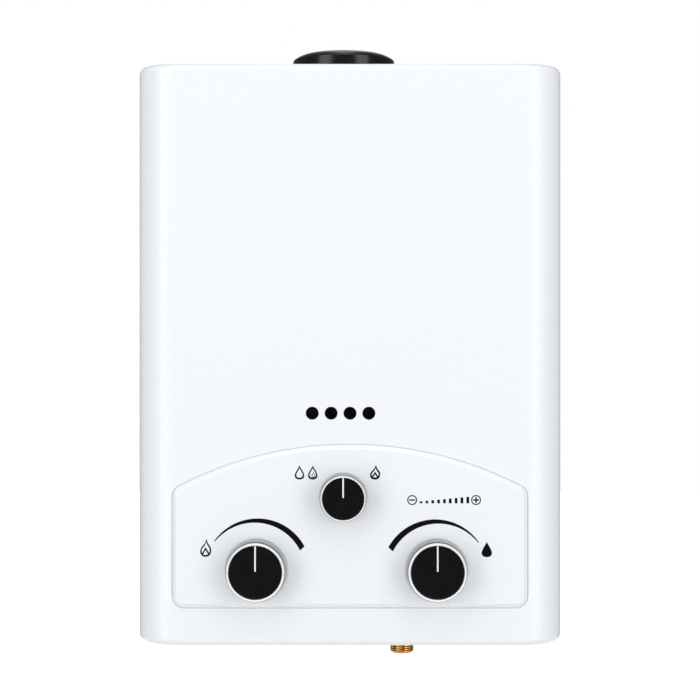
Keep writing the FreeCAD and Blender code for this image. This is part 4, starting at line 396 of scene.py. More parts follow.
CERAMIC = Finish("ceramic", (0.84, 0.82, 0.77), (0.78, 0.75, 0.69), 0.22, 0.05, coat=0.5, patch=150.0,
                 relief=Relief.ORANGE_PEEL, grain=900.0, depth=8e-6)
HOT_STEEL = Finish("hot_steel", (0.36, 0.34, 0.33), (0.20, 0.17, 0.17), 0.45, 0.08, metallic=1.0, patch=90.0,
                   relief=Relief.LINES, grain=3000.0, depth=5e-6)
SPRING_STEEL = Finish("spring_steel", (0.62, 0.62, 0.63), (0.50, 0.50, 0.52), 0.28, 0.05, metallic=1.0,
                      patch=160.0, relief=Relief.LINES, grain=5000.0, depth=3e-6, stretch=ALONG_X)
BRIGHT_ZINC = Finish("bright_zinc", (0.74, 0.75, 0.78), (0.62, 0.64, 0.68), 0.25, 0.06, metallic=1.0,
                     patch=220.0, relief=Relief.CAST, grain=6000.0, depth=3e-6)
# Dark orange-brown for the grooves of the brass threads: painted shade in the recesses.
THREAD_ROOT_SHADE = Finish("thread_root_shade", (0.56, 0.19, 0.035), (0.26, 0.08, 0.03), 0.42, 0.08, metallic=0.9,
                     patch=400.0, relief=Relief.CAST, grain=6000.0, depth=4e-6)
BLACK_PLASTIC = Finish("black_plastic", (0.022, 0.022, 0.024), (0.016, 0.016, 0.018), 0.5, 0.06, patch=80.0,
                       grain=3200.0, depth=1.2e-5)
WHITE_PLASTIC = Finish("white_plastic", (0.80, 0.81, 0.81), (0.76, 0.77, 0.78), 0.38, 0.05, patch=40.0,
                       grain=2600.0, depth=8e-6)
RED_SILICONE = Finish("red_silicone", (0.52, 0.055, 0.035), (0.42, 0.04, 0.03), 0.5, 0.06, patch=120.0,
                      grain=2400.0, depth=1e-5)
LEAD_SLEEVE = Finish("lead_sleeve", (0.045, 0.045, 0.05), (0.03, 0.03, 0.034), 0.42, 0.06, patch=140.0,
                     grain=3000.0, depth=8e-6)
NITRILE = Finish("nitrile", (0.03, 0.03, 0.032), (0.02, 0.02, 0.021), 0.66, 0.06, patch=90.0,
                 grain=1800.0, depth=1.5e-5)
CELL = CellJacket("cell_jacket", (0.03, 0.032, 0.04), (0.62, 0.42, 0.16), 0.3, 0.04, patch=50.0,
                  relief=Relief.ORANGE_PEEL, grain=900.0, depth=4e-6)
KNOB_CHROME = Finish("knob_chrome", (0.58, 0.59, 0.61), (0.52, 0.53, 0.55), 0.3, 0.03, metallic=1.0,
                     patch=420.0, grain=4200.0, depth=4e-6)
# Pale and dark copies of the knob's chrome for its front band: the pale one is the ring with a painted
# highlight, the dark one painted shade on the band's rounded outer edge.
KNOB_EDGE_PAINTED_SHADE = Finish("knob_edge_painted_shade", (0.23, 0.232, 0.24), (0.18, 0.182, 0.19), 0.36, 0.04, metallic=1.0,
                     patch=300.0, relief=Relief.FACED, grain=5200.0, depth=3e-6)
KNOB_RING_WITH_HIGHLIGHT = Finish("knob_ring_with_highlight", (0.94, 0.945, 0.95), (0.90, 0.905, 0.91), 0.3, 0.04, metallic=0.35,
                   patch=300.0, relief=Relief.FACED, grain=5200.0, depth=3e-6)
KNOB_BLACK = Finish("knob_black", (0.0042, 0.0043, 0.0047), (0.0032, 0.0033, 0.0036), 0.3, 0.05,
                    specular=0.2, patch=110.0, relief=Relief.FACED, grain=3800.0, depth=6e-6)
SIGN_INK = Finish("sign_ink", (0.004, 0.004, 0.0045), (0.003, 0.003, 0.0034), 0.34, 0.04, specular=0.12,
                  patch=300.0, relief=Relief.ORANGE_PEEL, grain=2500.0, depth=2e-6)
POINTER_WHITE = Finish("pointer_white", (0.88, 0.88, 0.89), (0.84, 0.84, 0.86), 0.35, 0.04, patch=300.0,
                       relief=Relief.ORANGE_PEEL, grain=2500.0, depth=3e-6)

NODE_FINISHES: dict[Finish, tuple[str, ...]] = {
    WHITE_ENAMEL: ("front_cover", "top_plate", "bottom_plate"),
    ZINC_SHEET: ("back_plate", "exhaust_hood", "burner_frame", "electrode_bracket", "valve_bracket"),
    BLACK_ENAMEL: ("flue_collar",),
    HOT_COPPER: ("exchanger_shell",),
    COPPER: ("exchanger_fins", "fin_tubes", "chamber_coil", "hot_pipe"),
    BRASS: ("pipe_nuts", "gas_nozzles", "gas_spindle", "season_spindle", "temperature_spindle", "gland_nuts",
            "valve_seat", "guide_plug", "gas_inlet_fitting", "water_valve_body", "water_valve_cover",
            "push_rod", "water_inlet_fitting", "hot_outlet_fitting", "drain_plug"),
    DIE_CAST: ("gas_manifold", "gas_valve_body", "gas_distributor"),
    BURNER_STEEL: ("burner_bars", "inlet_filter"),
    CERAMIC: ("electrode_ceramics",),
    HOT_STEEL: ("electrode_rods",),
    BLACK_PLASTIC: ("igniter_box", "thermostat", "switch_body"),
    RED_SILICONE: ("ignition_leads",),
    LEAD_SLEEVE: ("control_leads",),
    NITRILE: ("valve_disc", "diaphragm"),
    SPRING_STEEL: ("valve_spring", "solenoid_spring", "switch_lever", "battery_contacts"),
    BRIGHT_ZINC: ("solenoid_can", "solenoid_plunger", "case_screws", "valve_screws"),
    WHITE_PLASTIC: ("battery_box", "battery_lid"),
    CELL: ("battery_cells",),
    KNOB_CHROME: ("gas_knob_body", "season_knob_body", "temperature_knob_body"),
    KNOB_BLACK: ("gas_knob_face", "season_knob_face", "temperature_knob_face"),
}


def dress_nodes() -> None:
    """Gives every CAD node its finish."""
    for finish, nodes in NODE_FINISHES.items():
        for node in nodes:
            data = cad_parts[node].data
            data.materials.clear()
            data.materials.append(finish.material())
        LOG.info("finish %s on %s", finish.name, ", ".join(nodes))


# --- outlines -------------------------------------------------------------------------------------
def arc(centre: Pair, radius: float, start: float, end: float, steps: int) -> list[Pair]:
    """Points on a circle's arc.

    Args:
        centre: the circle's centre.
        radius: its radius.
        start: first angle in degrees, from the first axis.
        end: last angle in degrees.
        steps: how many runs the arc has.

    Returns:
        steps + 1 points.
    """
    points = []
    for i in range(steps + 1):
        a = math.radians(start + (end - start) * i / steps)
        points.append((centre[0] + radius * math.cos(a), centre[1] + radius * math.sin(a)))
    return points


def circle(centre: Pair, radius: float, steps: int) -> list[Pair]:
    """A closed circle of steps points."""
    return arc(centre, radius, 0.0, 360.0, steps)[:-1]


def through(first: Pair, middle: Pair, last: Pair, steps: int) -> list[Pair]:
    """Points on the arc through three points.

    Args:
        first: where the arc starts.
        middle: a point on the way.
        last: where it ends.
        steps: how many runs it has.

    Returns:
        steps + 1 points.
    """
    (ax, ay), (bx, by), (cx, cy) = first, middle, last
    d = 2 * (ax * (by - cy) + bx * (cy - ay) + cx * (ay - by))
    sa, sb, sc = ax * ax + ay * ay, bx * bx + by * by, cx * cx + cy * cy
    ux = (sa * (by - cy) + sb * (cy - ay) + sc * (ay - by)) / d
    uy = (sa * (cx - bx) + sb * (ax - cx) + sc * (bx - ax)) / d
    start, via, end = (math.degrees(math.atan2(y - uy, x - ux)) for x, y in (first, middle, last))
    span = (end - start) % 360
    if (via - start) % 360 > span:
        span -= 360
    return arc((ux, uy), math.hypot(ax - ux, ay - uy), start, start + span, steps)


def smooth_loop(points: Sequence[Pair], steps: int = 6) -> list[Pair]:
    """A closed curve through all the points.

    Args:
        points: the points.
        steps: how many runs lie between two of them.

    Returns:
        The curve's points.
    """
    made = []
    count = len(points)
    for i in range(count):
        a, b, c, d = (Vector(points[(i + k) % count]) for k in (-1, 0, 1, 2))
        for step in range(steps):
            t = step / steps
            bend = a * (-t + 2 * t * t - t**3) + b * (2 - 5 * t * t + 3 * t**3)
            bend += c * (t + 4 * t * t - 3 * t**3) + d * (t**3 - t * t)
            made.append(tuple(bend / 2))
    return made


def round_trip(loop: Sequence) -> Iterable[tuple]:
    """Each member of a closed loop with the next."""
    return zip(loop, [*loop[1:], loop[0]])


def inside(spot: Pair, outline: Sequence[Pair]) -> bool:
    """Tells whether a point lies inside a closed outline.

    Args:
        spot: the point.
        outline: the corners of the outline.

    Returns:
        Whether it does.
    """
    x, y = spot
    within = False
    for (x0, y0), (x1, y1) in round_trip(outline):
        if (y0 > y) != (y1 > y) and x < x0 + (y - y0) * (x1 - x0) / (y1 - y0):
            within = not within
    return within


# --- meshes ---------------------------------------------------------------------------------------
class Form:
    """A mesh under construction, in metres."""

    def __init__(self) -> None:
        """Starts an empty mesh."""
        self.mesh = bmesh.new()

    def ring(self, points: Iterable[Sequence[float]]) -> Ring:
        """Adds one vertex for each point."""
        return [self.mesh.verts.new(p) for p in points]

    def face(self, corners: Ring) -> None:
        """Adds one face."""
        self.mesh.faces.new(corners)

    def bridge(self, first: Ring, second: Ring, closed: bool = True) -> None:
        """Joins two rows of the same length with a band of faces.

        Args:
            first: one row.
            second: the other.
            closed: whether the rows close on themselves.
        """
        count = len(first)
        for i in range(count if closed else count - 1):
            j = (i + 1) % count
            self.face([first[i], first[j], second[j], second[i]])

    def stack(self, rings: Sequence[Ring], closed: bool = True) -> None:
        """Joins each row to the next."""
        for first, second in zip(rings, rings[1:]):
            self.bridge(first, second, closed)

    def solid_of(self, rings: Sequence[Ring]) -> None:
        """Joins closed rows into a solid, with its ends capped.

        Args:
            rings: the rows, from one end to the other.
        """
        self.stack(rings)
        self.face(rings[0])
        self.face(rings[-1])

    def sweep(self, rows: Iterable[tuple[Iterable[Pair], float]]) -> list[Ring]:
        """Adds a row of vertices for each outline seen from above and its height."""
        return [self.ring((x, y, z) for x, y in outline) for outline, z in rows]

    def lathe(self, rows: Iterable[Pair], centre: Pair, steps: int, upright: bool = False) -> list[Ring]:
        """Adds a circle of vertices for each row of a turned shape.

        Args:
            rows: each row's radius and its place along the axis.
            centre: where the axis is.
            steps: how many vertices each circle has.
            upright: whether the axis is Z, rather than Y.

        Returns:
            The circles.
        """
        made = []
        for radius, along in rows:
            spots = circle(centre, radius, steps)
            made.append(self.ring((u, v, along) if upright else (u, along, v) for u, v in spots))
        return made

    def plate(self, loops: Sequence[Sequence[Pair]], front: float, back: float) -> None:
        """Adds a flat plate in the XZ plane.

        Args:
            loops: its outline, and the outlines of its holes.
            front: the y of its front face.
            back: the y of its back face.
        """
        rims = {front: [], back: []}
        for loop in loops:
            rings = [self.ring((x, y, z) for x, z in loop) for y in (front, back)]
            self.bridge(*rings)
            for y, made in zip((front, back), rings):
                rims[y].append(made)
        for made in rims.values():
            edges = [self.mesh.edges.get(pair) for ring in made for pair in round_trip(ring)]
            bmesh.ops.triangle_fill(self.mesh, use_beauty=True, edges=edges)

    def piece(self, name: str, finish: Finish, body: str, replaces: str = "",
              origin: Colour = (0.0, 0.0, 0.0), crease: float = 32.0) -> bpy.types.Object:
        """Turns the mesh into a piece of the object.

        Args:
            name: the piece's name.
            finish: what it is dressed in.
            body: the CAD body that it rides on.
            replaces: the CAD node that it stands for, if any.
            origin: the piece's own origin.
            crease: edges sharper than this angle in degrees stay sharp.

        Returns:
            The new object.
        """
        bmesh.ops.recalc_face_normals(self.mesh, faces=self.mesh.faces)
        bmesh.ops.translate(self.mesh, vec=-Vector(origin), verts=self.mesh.verts)
        data = bpy.data.meshes.new(name)
        self.mesh.to_mesh(data)
        self.mesh.free()
        data.materials.append(finish.material())
        data.shade_smooth()
        data.set_sharp_from_angle(angle=math.radians(crease))
        made = place(name, data)
        made.location = origin
        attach(made, body)
        if replaces:
            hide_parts(replaces)
        LOG.info("piece %s: %d faces", name, len(data.polygons))
        return made


# --- case -----------------------------------------------------------------------------------------
@dataclass
class FrontCover:
    """Drawn sheet-steel cover: wrapped sides, rolled edges, rims, raised panel and sight holes."""

    width: float = 0.273
    low: float = -0.1856
    high: float = 0.185
    front: float = -0.124
    back: float = -0.0004
    sheet: float = 0.0008
    bend: float = 0.026
    edge: float = 0.005
    rim_side: float = 0.014
    rim_top: float = 0.022
    rim_bottom: float = 0.009
    rim_corner: float = 0.012
    bend_steps: int = 21
    seam_step: int = 19
    side_steps: int = 4
    front_steps: int = 24
    wall_rows: int = 26
    edge_steps: int = 8
    panel_half: float = 0.1133
    panel_foot: float = -0.1615
    panel_crown: float = -0.0569
    panel_arch: float = 0.237
    panel_corner: float = 0.0082
    panel_corner_steps: int = 10
    panel_side_steps: int = 8
    panel_arch_steps: int = 48
    rise: float = 0.0022
    slope: float = 0.0032
    shoulder: float = 0.0016
    groove: float = 0.0006
    groove_depth: float = 0.0008
    groove_shape: tuple[Pair, ...] = ((0.1, 0.12), (0.2, 1.0), (0.8, 1.0), (0.9, 0.1))
    sight_holes: tuple[float, ...] = (-0.024, -0.012, 0.0, 0.012)
    sight_z: float = -0.0375
    sight_r: float = 0.0041
    lip: float = 0.00025
    hub_holes: tuple[Pair, ...] = (GAS_KNOB, TEMPERATURE_KNOB, SEASON_KNOB)
    hub_r: float = 0.008

    @property
    def seam(self) -> int:
        """The point of a row where the front sheet starts."""
        return self.side_steps + self.seam_step

    def bow(self, half: float, front: float, bend: float) -> list[Pair]:
        """A row of the wrap seen from above, from the wall round the front to the wall.

        Args:
            half: half its width.
            front: the y of its front.
            bend: the radius of its two corners.

        Returns:
            Its points, as many for any sizes.
        """
        cx, cy = half - bend, front + bend
        left = [(-half, self.back + (cy - self.back) * i / self.side_steps) for i in range(self.side_steps)]
        left += arc((-cx, cy), bend, 180, 270, self.bend_steps)
        mid = [(-cx + 2 * cx * i / self.front_steps, front) for i in range(1, self.front_steps)]
        return left + mid + [(-x, y) for x, y in reversed(left)]

    def plan(self, inset: float) -> list[Pair]:
        """The case's outline seen from above, drawn in by inset."""
        return self.bow(self.width / 2 - inset, self.front + inset, self.bend - inset)

    def opening(self, rim: float) -> list[Pair]:
        """The opening inside a turned-in rim."""
        return self.bow(self.width / 2 - self.rim_side, self.front + rim, self.rim_corner)

    def depth(self, x: float) -> float:
        """Finds the outer surface of the front.

        Args:
            x: how far it is from the middle.

        Returns:
            The y of the surface there.
        """
        over = abs(x) - (self.width / 2 - self.bend)
        if over <= 0:
            return self.front
        return self.front + self.bend - math.sqrt(self.bend**2 - over**2)

    def panel(self, inset: float) -> list[Pair]:
        """The raised panel's arched outline.

        Args:
            inset: how far it is drawn in.

        Returns:
            Its points, from the right end of its foot upwards and all the way round.
        """
        half, low = self.panel_half - inset, self.panel_foot + inset
        crown = self.panel_crown - inset
        big, small = self.panel_arch - inset, self.panel_corner - inset
        hub = crown - big
        cx = half - small
        cz = hub + math.sqrt((big - small) ** 2 - cx**2)
        lean = math.degrees(math.atan2(cz - hub, cx))
        side = self.panel_side_steps
        right = arc((cx, low + small), small, -90, 0, self.panel_corner_steps)
        right += [(half, low + small + (cz - low - small) * i / side) for i in range(1, side)]
        right += arc((cx, cz), small, 0, lean, self.panel_corner_steps)
        top = arc((0, hub), big, lean, 180 - lean, self.panel_arch_steps)[1:-1]
        foot = self.front_steps
        bottom = [(-cx + 2 * cx * i / foot, low) for i in range(1, foot)]
        return right + top + [(-x, z) for x, z in reversed(right)] + bottom

    def emboss(self) -> list[Pair]:
        """The panel's edge in section: a fine groove, the slope and the rounded shoulder.

        Returns:
            How far in and how far up each point is, from the outer edge of the groove.
        """
        wide, deep = self.groove, self.groove_depth
        lean = math.atan2(self.rise, self.slope - wide)
        degrees = math.degrees(lean)
        reach = self.shoulder * math.tan(lean / 2)
        groove = [(0.0, 0.0)] + [(wide * across, -deep * down) for across, down in self.groove_shape]
        groove.append((wide * 1.1, wide * 0.1))
        top = arc((self.slope + reach, self.rise - self.shoulder), self.shoulder, 90 + degrees, 90, 7)
        return groove + top

    def wrap(self, form: Form) -> list[Ring]:
        """Sides, bends, rolled edges and rims.

        Args:
            form: the mesh to add to.

        Returns:
            The rows of the wall, from the bottom up.
        """
        turns = [math.radians(90 * i / self.edge_steps) for i in range(self.edge_steps, 0, -1)]
        rolled = [(self.edge * (1 - math.cos(turn)), self.edge * (1 - math.sin(turn))) for turn in turns]
        tall = self.high - self.low - 2 * self.edge
        rows = [(self.opening(self.rim_bottom), self.low)]
        rows += [(self.plan(inset), self.low + rise) for inset, rise in rolled]
        for i in range(self.wall_rows + 1):
            rows.append((self.plan(0.0), self.low + self.edge + tall * i / self.wall_rows))
        rows += [(self.plan(inset), self.high - rise) for inset, rise in reversed(rolled)]
        rows.append((self.opening(self.rim_top), self.high))
        rings = form.sweep(rows)
        below = 1 + self.edge_steps
        form.stack(rings[:below + 1], closed=False)
        form.stack(rings[-below - 1:], closed=False)
        wall = rings[below:-below]
        for low, high in zip(wall, wall[1:]):
            form.bridge(low[:self.seam + 1], high[:self.seam + 1], closed=False)
            form.bridge(low[-self.seam - 1:], high[-self.seam - 1:], closed=False)
        return wall

    def front_sheet(self, form: Form, wall: list[Ring]) -> None:
        """The front between the bends, with the sight holes and the room for the panel.

        Args:
            form: the mesh to add to.
            wall: rows of the wall, whose inner part bounds this sheet.
        """
        inner = slice(self.seam, -self.seam)
        border = [row[inner][-1] for row in wall] + wall[-1][inner][-2:0:-1]
        border += [row[inner][0] for row in reversed(wall)] + wall[0][inner][1:-1]
        foot = self.panel(0.0)
        holes = [circle((x, self.sight_z), self.sight_r + self.lip, 40) for x in self.sight_holes]
        where = self.fill(form, border, [foot, *holes])
        first = len(border)
        self.raise_panel(form, [where[first + i] for i in range(len(foot))])
        first += len(foot)
        for hole in holes:
            self.turn_in(form, [where[first + i] for i in range(len(hole))])
            first += len(hole)

    def fill(self, form: Form, border: Ring, openings: list[list[Pair]]) -> dict[int, bmesh.types.BMVert]:
        """Fills the front between its border and its openings with triangles.

        Args:
            form: the mesh to add to.
            border: the sheet's outer edge.
            openings: the outlines of the openings.

        Returns:
            The vertex of each point, counted from the border's first through all the openings.
        """
        points, edges = [], []
        for outline in ([(v.co.x, v.co.z) for v in border], *openings):
            first = len(points)
            points += outline
            edges += round_trip(range(first, len(points)))
        fold = self.width / 2 - self.bend
        for x in (-fold, fold):
            edges.append((len(points), len(points) + 1))
            points += [(x, self.low + self.edge), (x, self.high - self.edge)]
        flat = [Vector(spot) for spot in points]
        made, _, faces, origins, _, _ = delaunay_2d_cdt(flat, edges, [], 0, 1e-7, True)
        verts = []
        for spot, origin in zip(made, origins):
            known = [i for i in origin if i < len(border)]
            if known:
                verts.append(border[known[0]])
            else:
                verts.append(form.mesh.verts.new((spot.x, self.depth(spot.x), spot.y)))
        for face in faces:
            centre = sum((made[i] for i in face), Vector((0, 0))) / len(face)
            if not any(inside(centre, opening) for opening in openings):
                form.face([verts[i] for i in face])
        return {i: vert for vert, origin in zip(verts, origins) for i in origin}

    def turn_in(self, form: Form, rim: Ring) -> None:
        """Rolls the edge of a hole inwards by the lip's radius.

        Args:
            form: the mesh to add to.
            rim: the edge of the hole.
        """
        centre = sum((v.co for v in rim), Vector()) / len(rim)
        rings = [rim]
        for step in range(1, 5):
            turn = math.radians(90 * step / 4)
            reach = 1 - self.lip * math.sin(turn) / (rim[0].co - centre).length
            drop = Vector((0, self.lip * (1 - math.cos(turn)), 0))
            rings.append(form.ring(centre + (v.co - centre) * reach + drop for v in rim))
        form.stack(rings)

    def raise_panel(self, form: Form, foot: Ring) -> None:
        """The panel's slope, its flat face and the holes for the spindles.

        Args:
            form: the mesh to add to.
            foot: the row that the slope starts from.
        """
        rings = [foot]
        for inset, rise in self.emboss()[1:]:
            share = rise / self.rise
            level = self.front - self.rise
            rings.append(form.ring((x, self.depth(x) * (1 - share) + level * share, z)
                                   for x, z in self.panel(inset)))
        form.stack(rings)
        edges = [form.mesh.edges.get(pair) for pair in round_trip(rings[-1])]
        for x, z in self.hub_holes:
            ring = form.ring((u, self.front - self.rise, w) for u, w in circle((x, z), self.hub_r, 48))
            edges += [form.mesh.edges.new(pair) for pair in round_trip(ring)]
        bmesh.ops.triangle_fill(form.mesh, use_beauty=True, edges=edges)

    def build(self) -> bpy.types.Object:
        """Builds and dresses the cover.

        Returns:
            The cover.
        """
        form = Form()
        wall = self.wrap(form)
        self.front_sheet(form, wall)
        for row in wall[1:-1]:
            for vert in row[self.seam + 1:-self.seam - 1]:
                form.mesh.verts.remove(vert)
        made = form.piece("cover_sheet", WHITE_ENAMEL, "case", "front_cover", crease=50)
        sheet = made.modifiers.new("sheet", "SOLIDIFY")
        sheet.thickness = self.sheet
        sheet.offset = -1.0
        sheet.use_even_offset = True
        level = made.modifiers.new("flat faces", "WEIGHTED_NORMAL")
        level.keep_sharp = True
        return made


@dataclass
class FlueCollar:
    """Pressed black collar: flange, domed wall, rolled crown and spigot."""

    x: float = -0.0042
    y: float = -0.058
    seat: float = 0.1838
    top: float = 0.1996
    sheet: float = 0.0012
    flange_r: float = 0.042
    foot_r: float = 0.0349
    foot_bend: float = 0.0006
    dome_bend: float = 0.020
    dome_turns: Pair = (12.0, 38.0)
    edge_bend: float = 0.0009
    wall_turn: float = 84.0
    crown_r: float = 0.0253
    bore_r: float = 0.023
    spigot: float = 0.013
    steps: int = 96

    def dome(self, inset: float) -> list[Pair]:
        """The dome's section from its edge up to the crown.

        Args:
            inset: how far it is drawn in.

        Returns:
            Radius and height of each point.
        """
        start, end = self.dome_turns
        turn = math.radians(start)
        hub = (self.crown_r - self.dome_bend * math.sin(turn), self.top - self.dome_bend * math.cos(turn))
        return arc(hub, self.dome_bend - inset, 90 - end, 90 - start, 14)

    def edge(self) -> list[Pair]:
        """The rounded edge between the wall and the dome.

        Returns:
            Radius and height of each point, from the wall up.
        """
        turn = self.dome_turns[1]
        end = self.dome(0.0)[0]
        reach = math.radians(turn)
        hub = (end[0] - self.edge_bend * math.sin(reach), end[1] - self.edge_bend * math.cos(reach))
        return arc(hub, self.edge_bend, 90 - self.wall_turn, 90 - turn, 6)[:-1]

    def outline(self) -> list[Pair]:
        """Half of the collar's section.

        Returns:
            Radius and height of each point, all the way round.
        """
        t = self.sheet
        turn = self.crown_r - self.bore_r
        rim = self.top - turn
        points = arc((self.flange_r - t / 2, self.seat + t / 2), t / 2, -90, 90, 6)
        foot, bend = self.seat + t, self.foot_bend
        points += [(self.foot_r + bend, foot), (self.foot_r, foot + bend)]
        points += self.edge() + self.dome(0.0) + arc((self.crown_r, rim), turn, 90, 180, 12)[1:]
        points += [(self.bore_r, self.seat - self.spigot), (self.bore_r + t, self.seat - self.spigot)]
        points += arc((self.crown_r, rim), turn - t, 180, 90, 12) + self.dome(t)[::-1]
        points.append((self.foot_r - t, self.seat))
        return points

    def build(self) -> bpy.types.Object:
        """Builds and dresses the collar.

        Returns:
            The collar.
        """
        form = Form()
        rings = form.lathe(self.outline(), (self.x, self.y), self.steps, upright=True)
        form.stack([*rings, rings[0]])
        return form.piece("collar_shell", BLACK_ENAMEL, "case", "flue_collar")


# --- knobs ----------------------------------------------------------------------------------------
@dataclass
class Knob:
    """Hollow knurled knob with a bright ring, a black face insert and a white pointer; the ring's paleness
    is partly a painted highlight and its rounded outer edge carries painted shade.
    """

    name: str
    centre: Pair
    base_r: float = 0.0200
    front_r: float = 0.0190
    height: float = 0.014
    back: float = -0.1268
    teeth: int = 96
    tooth: float = 0.0005
    knurl: tuple[float, ...] = (0.0, 0.25, 1.0, 0.25)
    band: float = 0.0046
    ring: float = 0.00215
    ring_edge: float = 0.15
    highlight_share: float = 0.73
    step_rows: tuple[Pair, ...] = ((0.0, 0.0002), (0.00015, 0.0003))
    skirt_start: float = 0.0004
    skirt_end: float = 0.0003
    base_soft: float = 0.0002
    insert: float = 0.0015
    wall: float = 0.00235
    web: float = 0.002
    seat_gap: float = 0.0001
    soft: float = 0.0003
    cavity_bend: float = 0.0006
    hub_bend: float = 0.0005
    hub_r: float = 0.006
    hub_soft: float = 0.0004
    hub_end: float = -0.1212
    bore_r: float = 0.00305
    bore_flat: float = 0.00225
    dish: float = 0.00012
    insert_hub: float = 0.0012
    insert_rows: tuple[float, ...] = (0.3, 0.55, 0.75, 0.9)
    insert_edge: tuple[Pair, ...] = ((0.0003, 0.00002), (0.00009, 0.0001), (0.0, 0.0003))
    pointer: float = 0.00095
    pointer_start: float = 0.0006
    pointer_corner: Pair = (0.0002, 0.0003)
    pointer_lift: float = 0.00001
    pointer_deep: float = 0.0004
    skirt_rows: int = 8
    turn_steps: int = 96

    @property
    def face_y(self) -> float:
        """The y of the knob's front."""
        return self.back - self.height

    @property
    def origin(self) -> Colour:
        """The middle of the knob's front."""
        return (self.centre[0], self.face_y, self.centre[1])

    @property
    def insert_r(self) -> float:
        """Radius of the face insert."""
        return self.front_r - self.ring

    def row(self, form: Form, radius: float, y: float, cut: float = 0.0, flat: float = math.inf) -> Ring:
        """A row of vertices round the knob's axis.

        Args:
            form: the mesh to add to.
            radius: the row's radius.
            y: its depth.
            cut: depth of the knurl's grooves in this row.
            flat: height at which the row is cut flat on top.

        Returns:
            The row.
        """
        points = []
        for i in range(4 * self.teeth):
            a = math.tau * i / (4 * self.teeth)
            r = radius - cut * self.knurl[i % 4]
            points.append((self.centre[0] + r * math.sin(a), y, self.centre[1] + min(r * math.cos(a), flat)))
        return form.ring(points)

    def body(self) -> None:
        """The knob's body: seat, bright ring with a painted highlight and painted shade on its outer edge,
        knurled skirt, cavity and hub.
        """
        form = Form()
        front, back = self.face_y, self.back
        seat_r = self.insert_r + self.seat_gap
        grip = front + self.band
        floor = front + self.insert + self.web
        cavity = self.front_r - self.wall
        soft, bend, hub_bend = self.soft, self.cavity_bend, self.hub_bend
        rows = [(seat_r, front + self.insert, 0.0), (seat_r, front + soft, 0.0)]
        wide = self.front_r - seat_r
        for u, w in arc((0, 0), 1.0, 100, 0, 12):
            out = self.ring_edge + (1 - self.ring_edge) * u
            rows.append((seat_r + wide * out, grip - self.band * w, 0.0))
        rows += [(self.front_r - inset, grip + down, 0.0) for inset, down in self.step_rows]
        skirt = back - self.skirt_start - self.skirt_end - grip
        for i in range(self.skirt_rows + 1):
            share = i / self.skirt_rows
            y = grip + self.skirt_start + skirt * share
            cut = self.tooth * min(1.0, 5 * share)
            rows.append((self.front_r + (self.base_r - self.front_r) * share, y, cut))
        rows += [(self.base_r - self.base_soft, back, self.tooth * 0.5), (cavity + soft, back, 0.0),
                 (cavity, back - soft, 0.0), (cavity, floor + bend, 0.0), (cavity - bend, floor, 0.0),
                 (self.hub_r + hub_bend, floor, 0.0), (self.hub_r, floor + hub_bend, 0.0),
                 (self.hub_r, self.hub_end - self.hub_soft, 0.0),
                 (self.hub_r - self.hub_soft, self.hub_end, 0.0)]
        rings = [self.row(form, *row) for row in rows]
        rings += [self.row(form, self.bore_r, y, flat=self.bore_flat) for y in (self.hub_end, floor)]
        form.solid_of(rings)
        made = form.piece(self.name + "_knob_grip", KNOB_CHROME, self.name + "_control",
                          self.name + "_knob_body", self.origin, crease=24)
        # Faces of the front band take the pale finish out to highlight_share of the band, a painted
        # highlight on the ring, and the dark finish beyond it, painted shade on the rounded outer edge.
        for finish in (KNOB_RING_WITH_HIGHLIGHT, KNOB_EDGE_PAINTED_SHADE):
            made.data.materials.append(finish.material())
        for polygon in made.data.polygons:
            reach = polygon.center.xz.length
            if polygon.center.y < self.band + 0.0001 and reach > seat_r:
                polygon.material_index = 1 if reach < seat_r + wide * self.highlight_share else 2

    def face(self) -> None:
        """The black insert, a little dished, and the pointer set in it."""
        form = Form()
        front, radius = self.face_y, self.insert_r
        hub, back = self.insert_hub, front + self.insert - self.seat_gap
        rows = [(hub, front + self.dish)]
        for share in self.insert_rows:
            rows.append((radius * share, front + self.dish * (1 - share**2)))
        rows += [(radius - r, front + y) for r, y in self.insert_edge]
        rows += [(radius, back), (hub, back)]
        form.solid_of(form.lathe(rows, self.centre, self.turn_steps))
        form.piece(self.name + "_knob_insert", KNOB_BLACK, self.name + "_control",
                   self.name + "_knob_face", self.origin)
        form = Form()
        half, (soft, slope) = self.pointer / 2, self.pointer_corner
        end = radius - self.seat_gap
        bar = arc((0, self.pointer_start + half), half, 180, 360, 8)
        bar += [(half, end - slope), (half - soft, end), (soft - half, end), (-half, end - slope)]
        x, z = self.centre
        marks = [[(x + u, z + w) for u, w in bar]]
        form.plate(marks, front + self.pointer_lift, front + self.pointer_deep)
        form.piece(self.name + "_pointer", POINTER_WHITE, self.name + "_control")

    def build(self) -> None:
        """Builds and dresses the knob."""
        self.body()
        self.face()


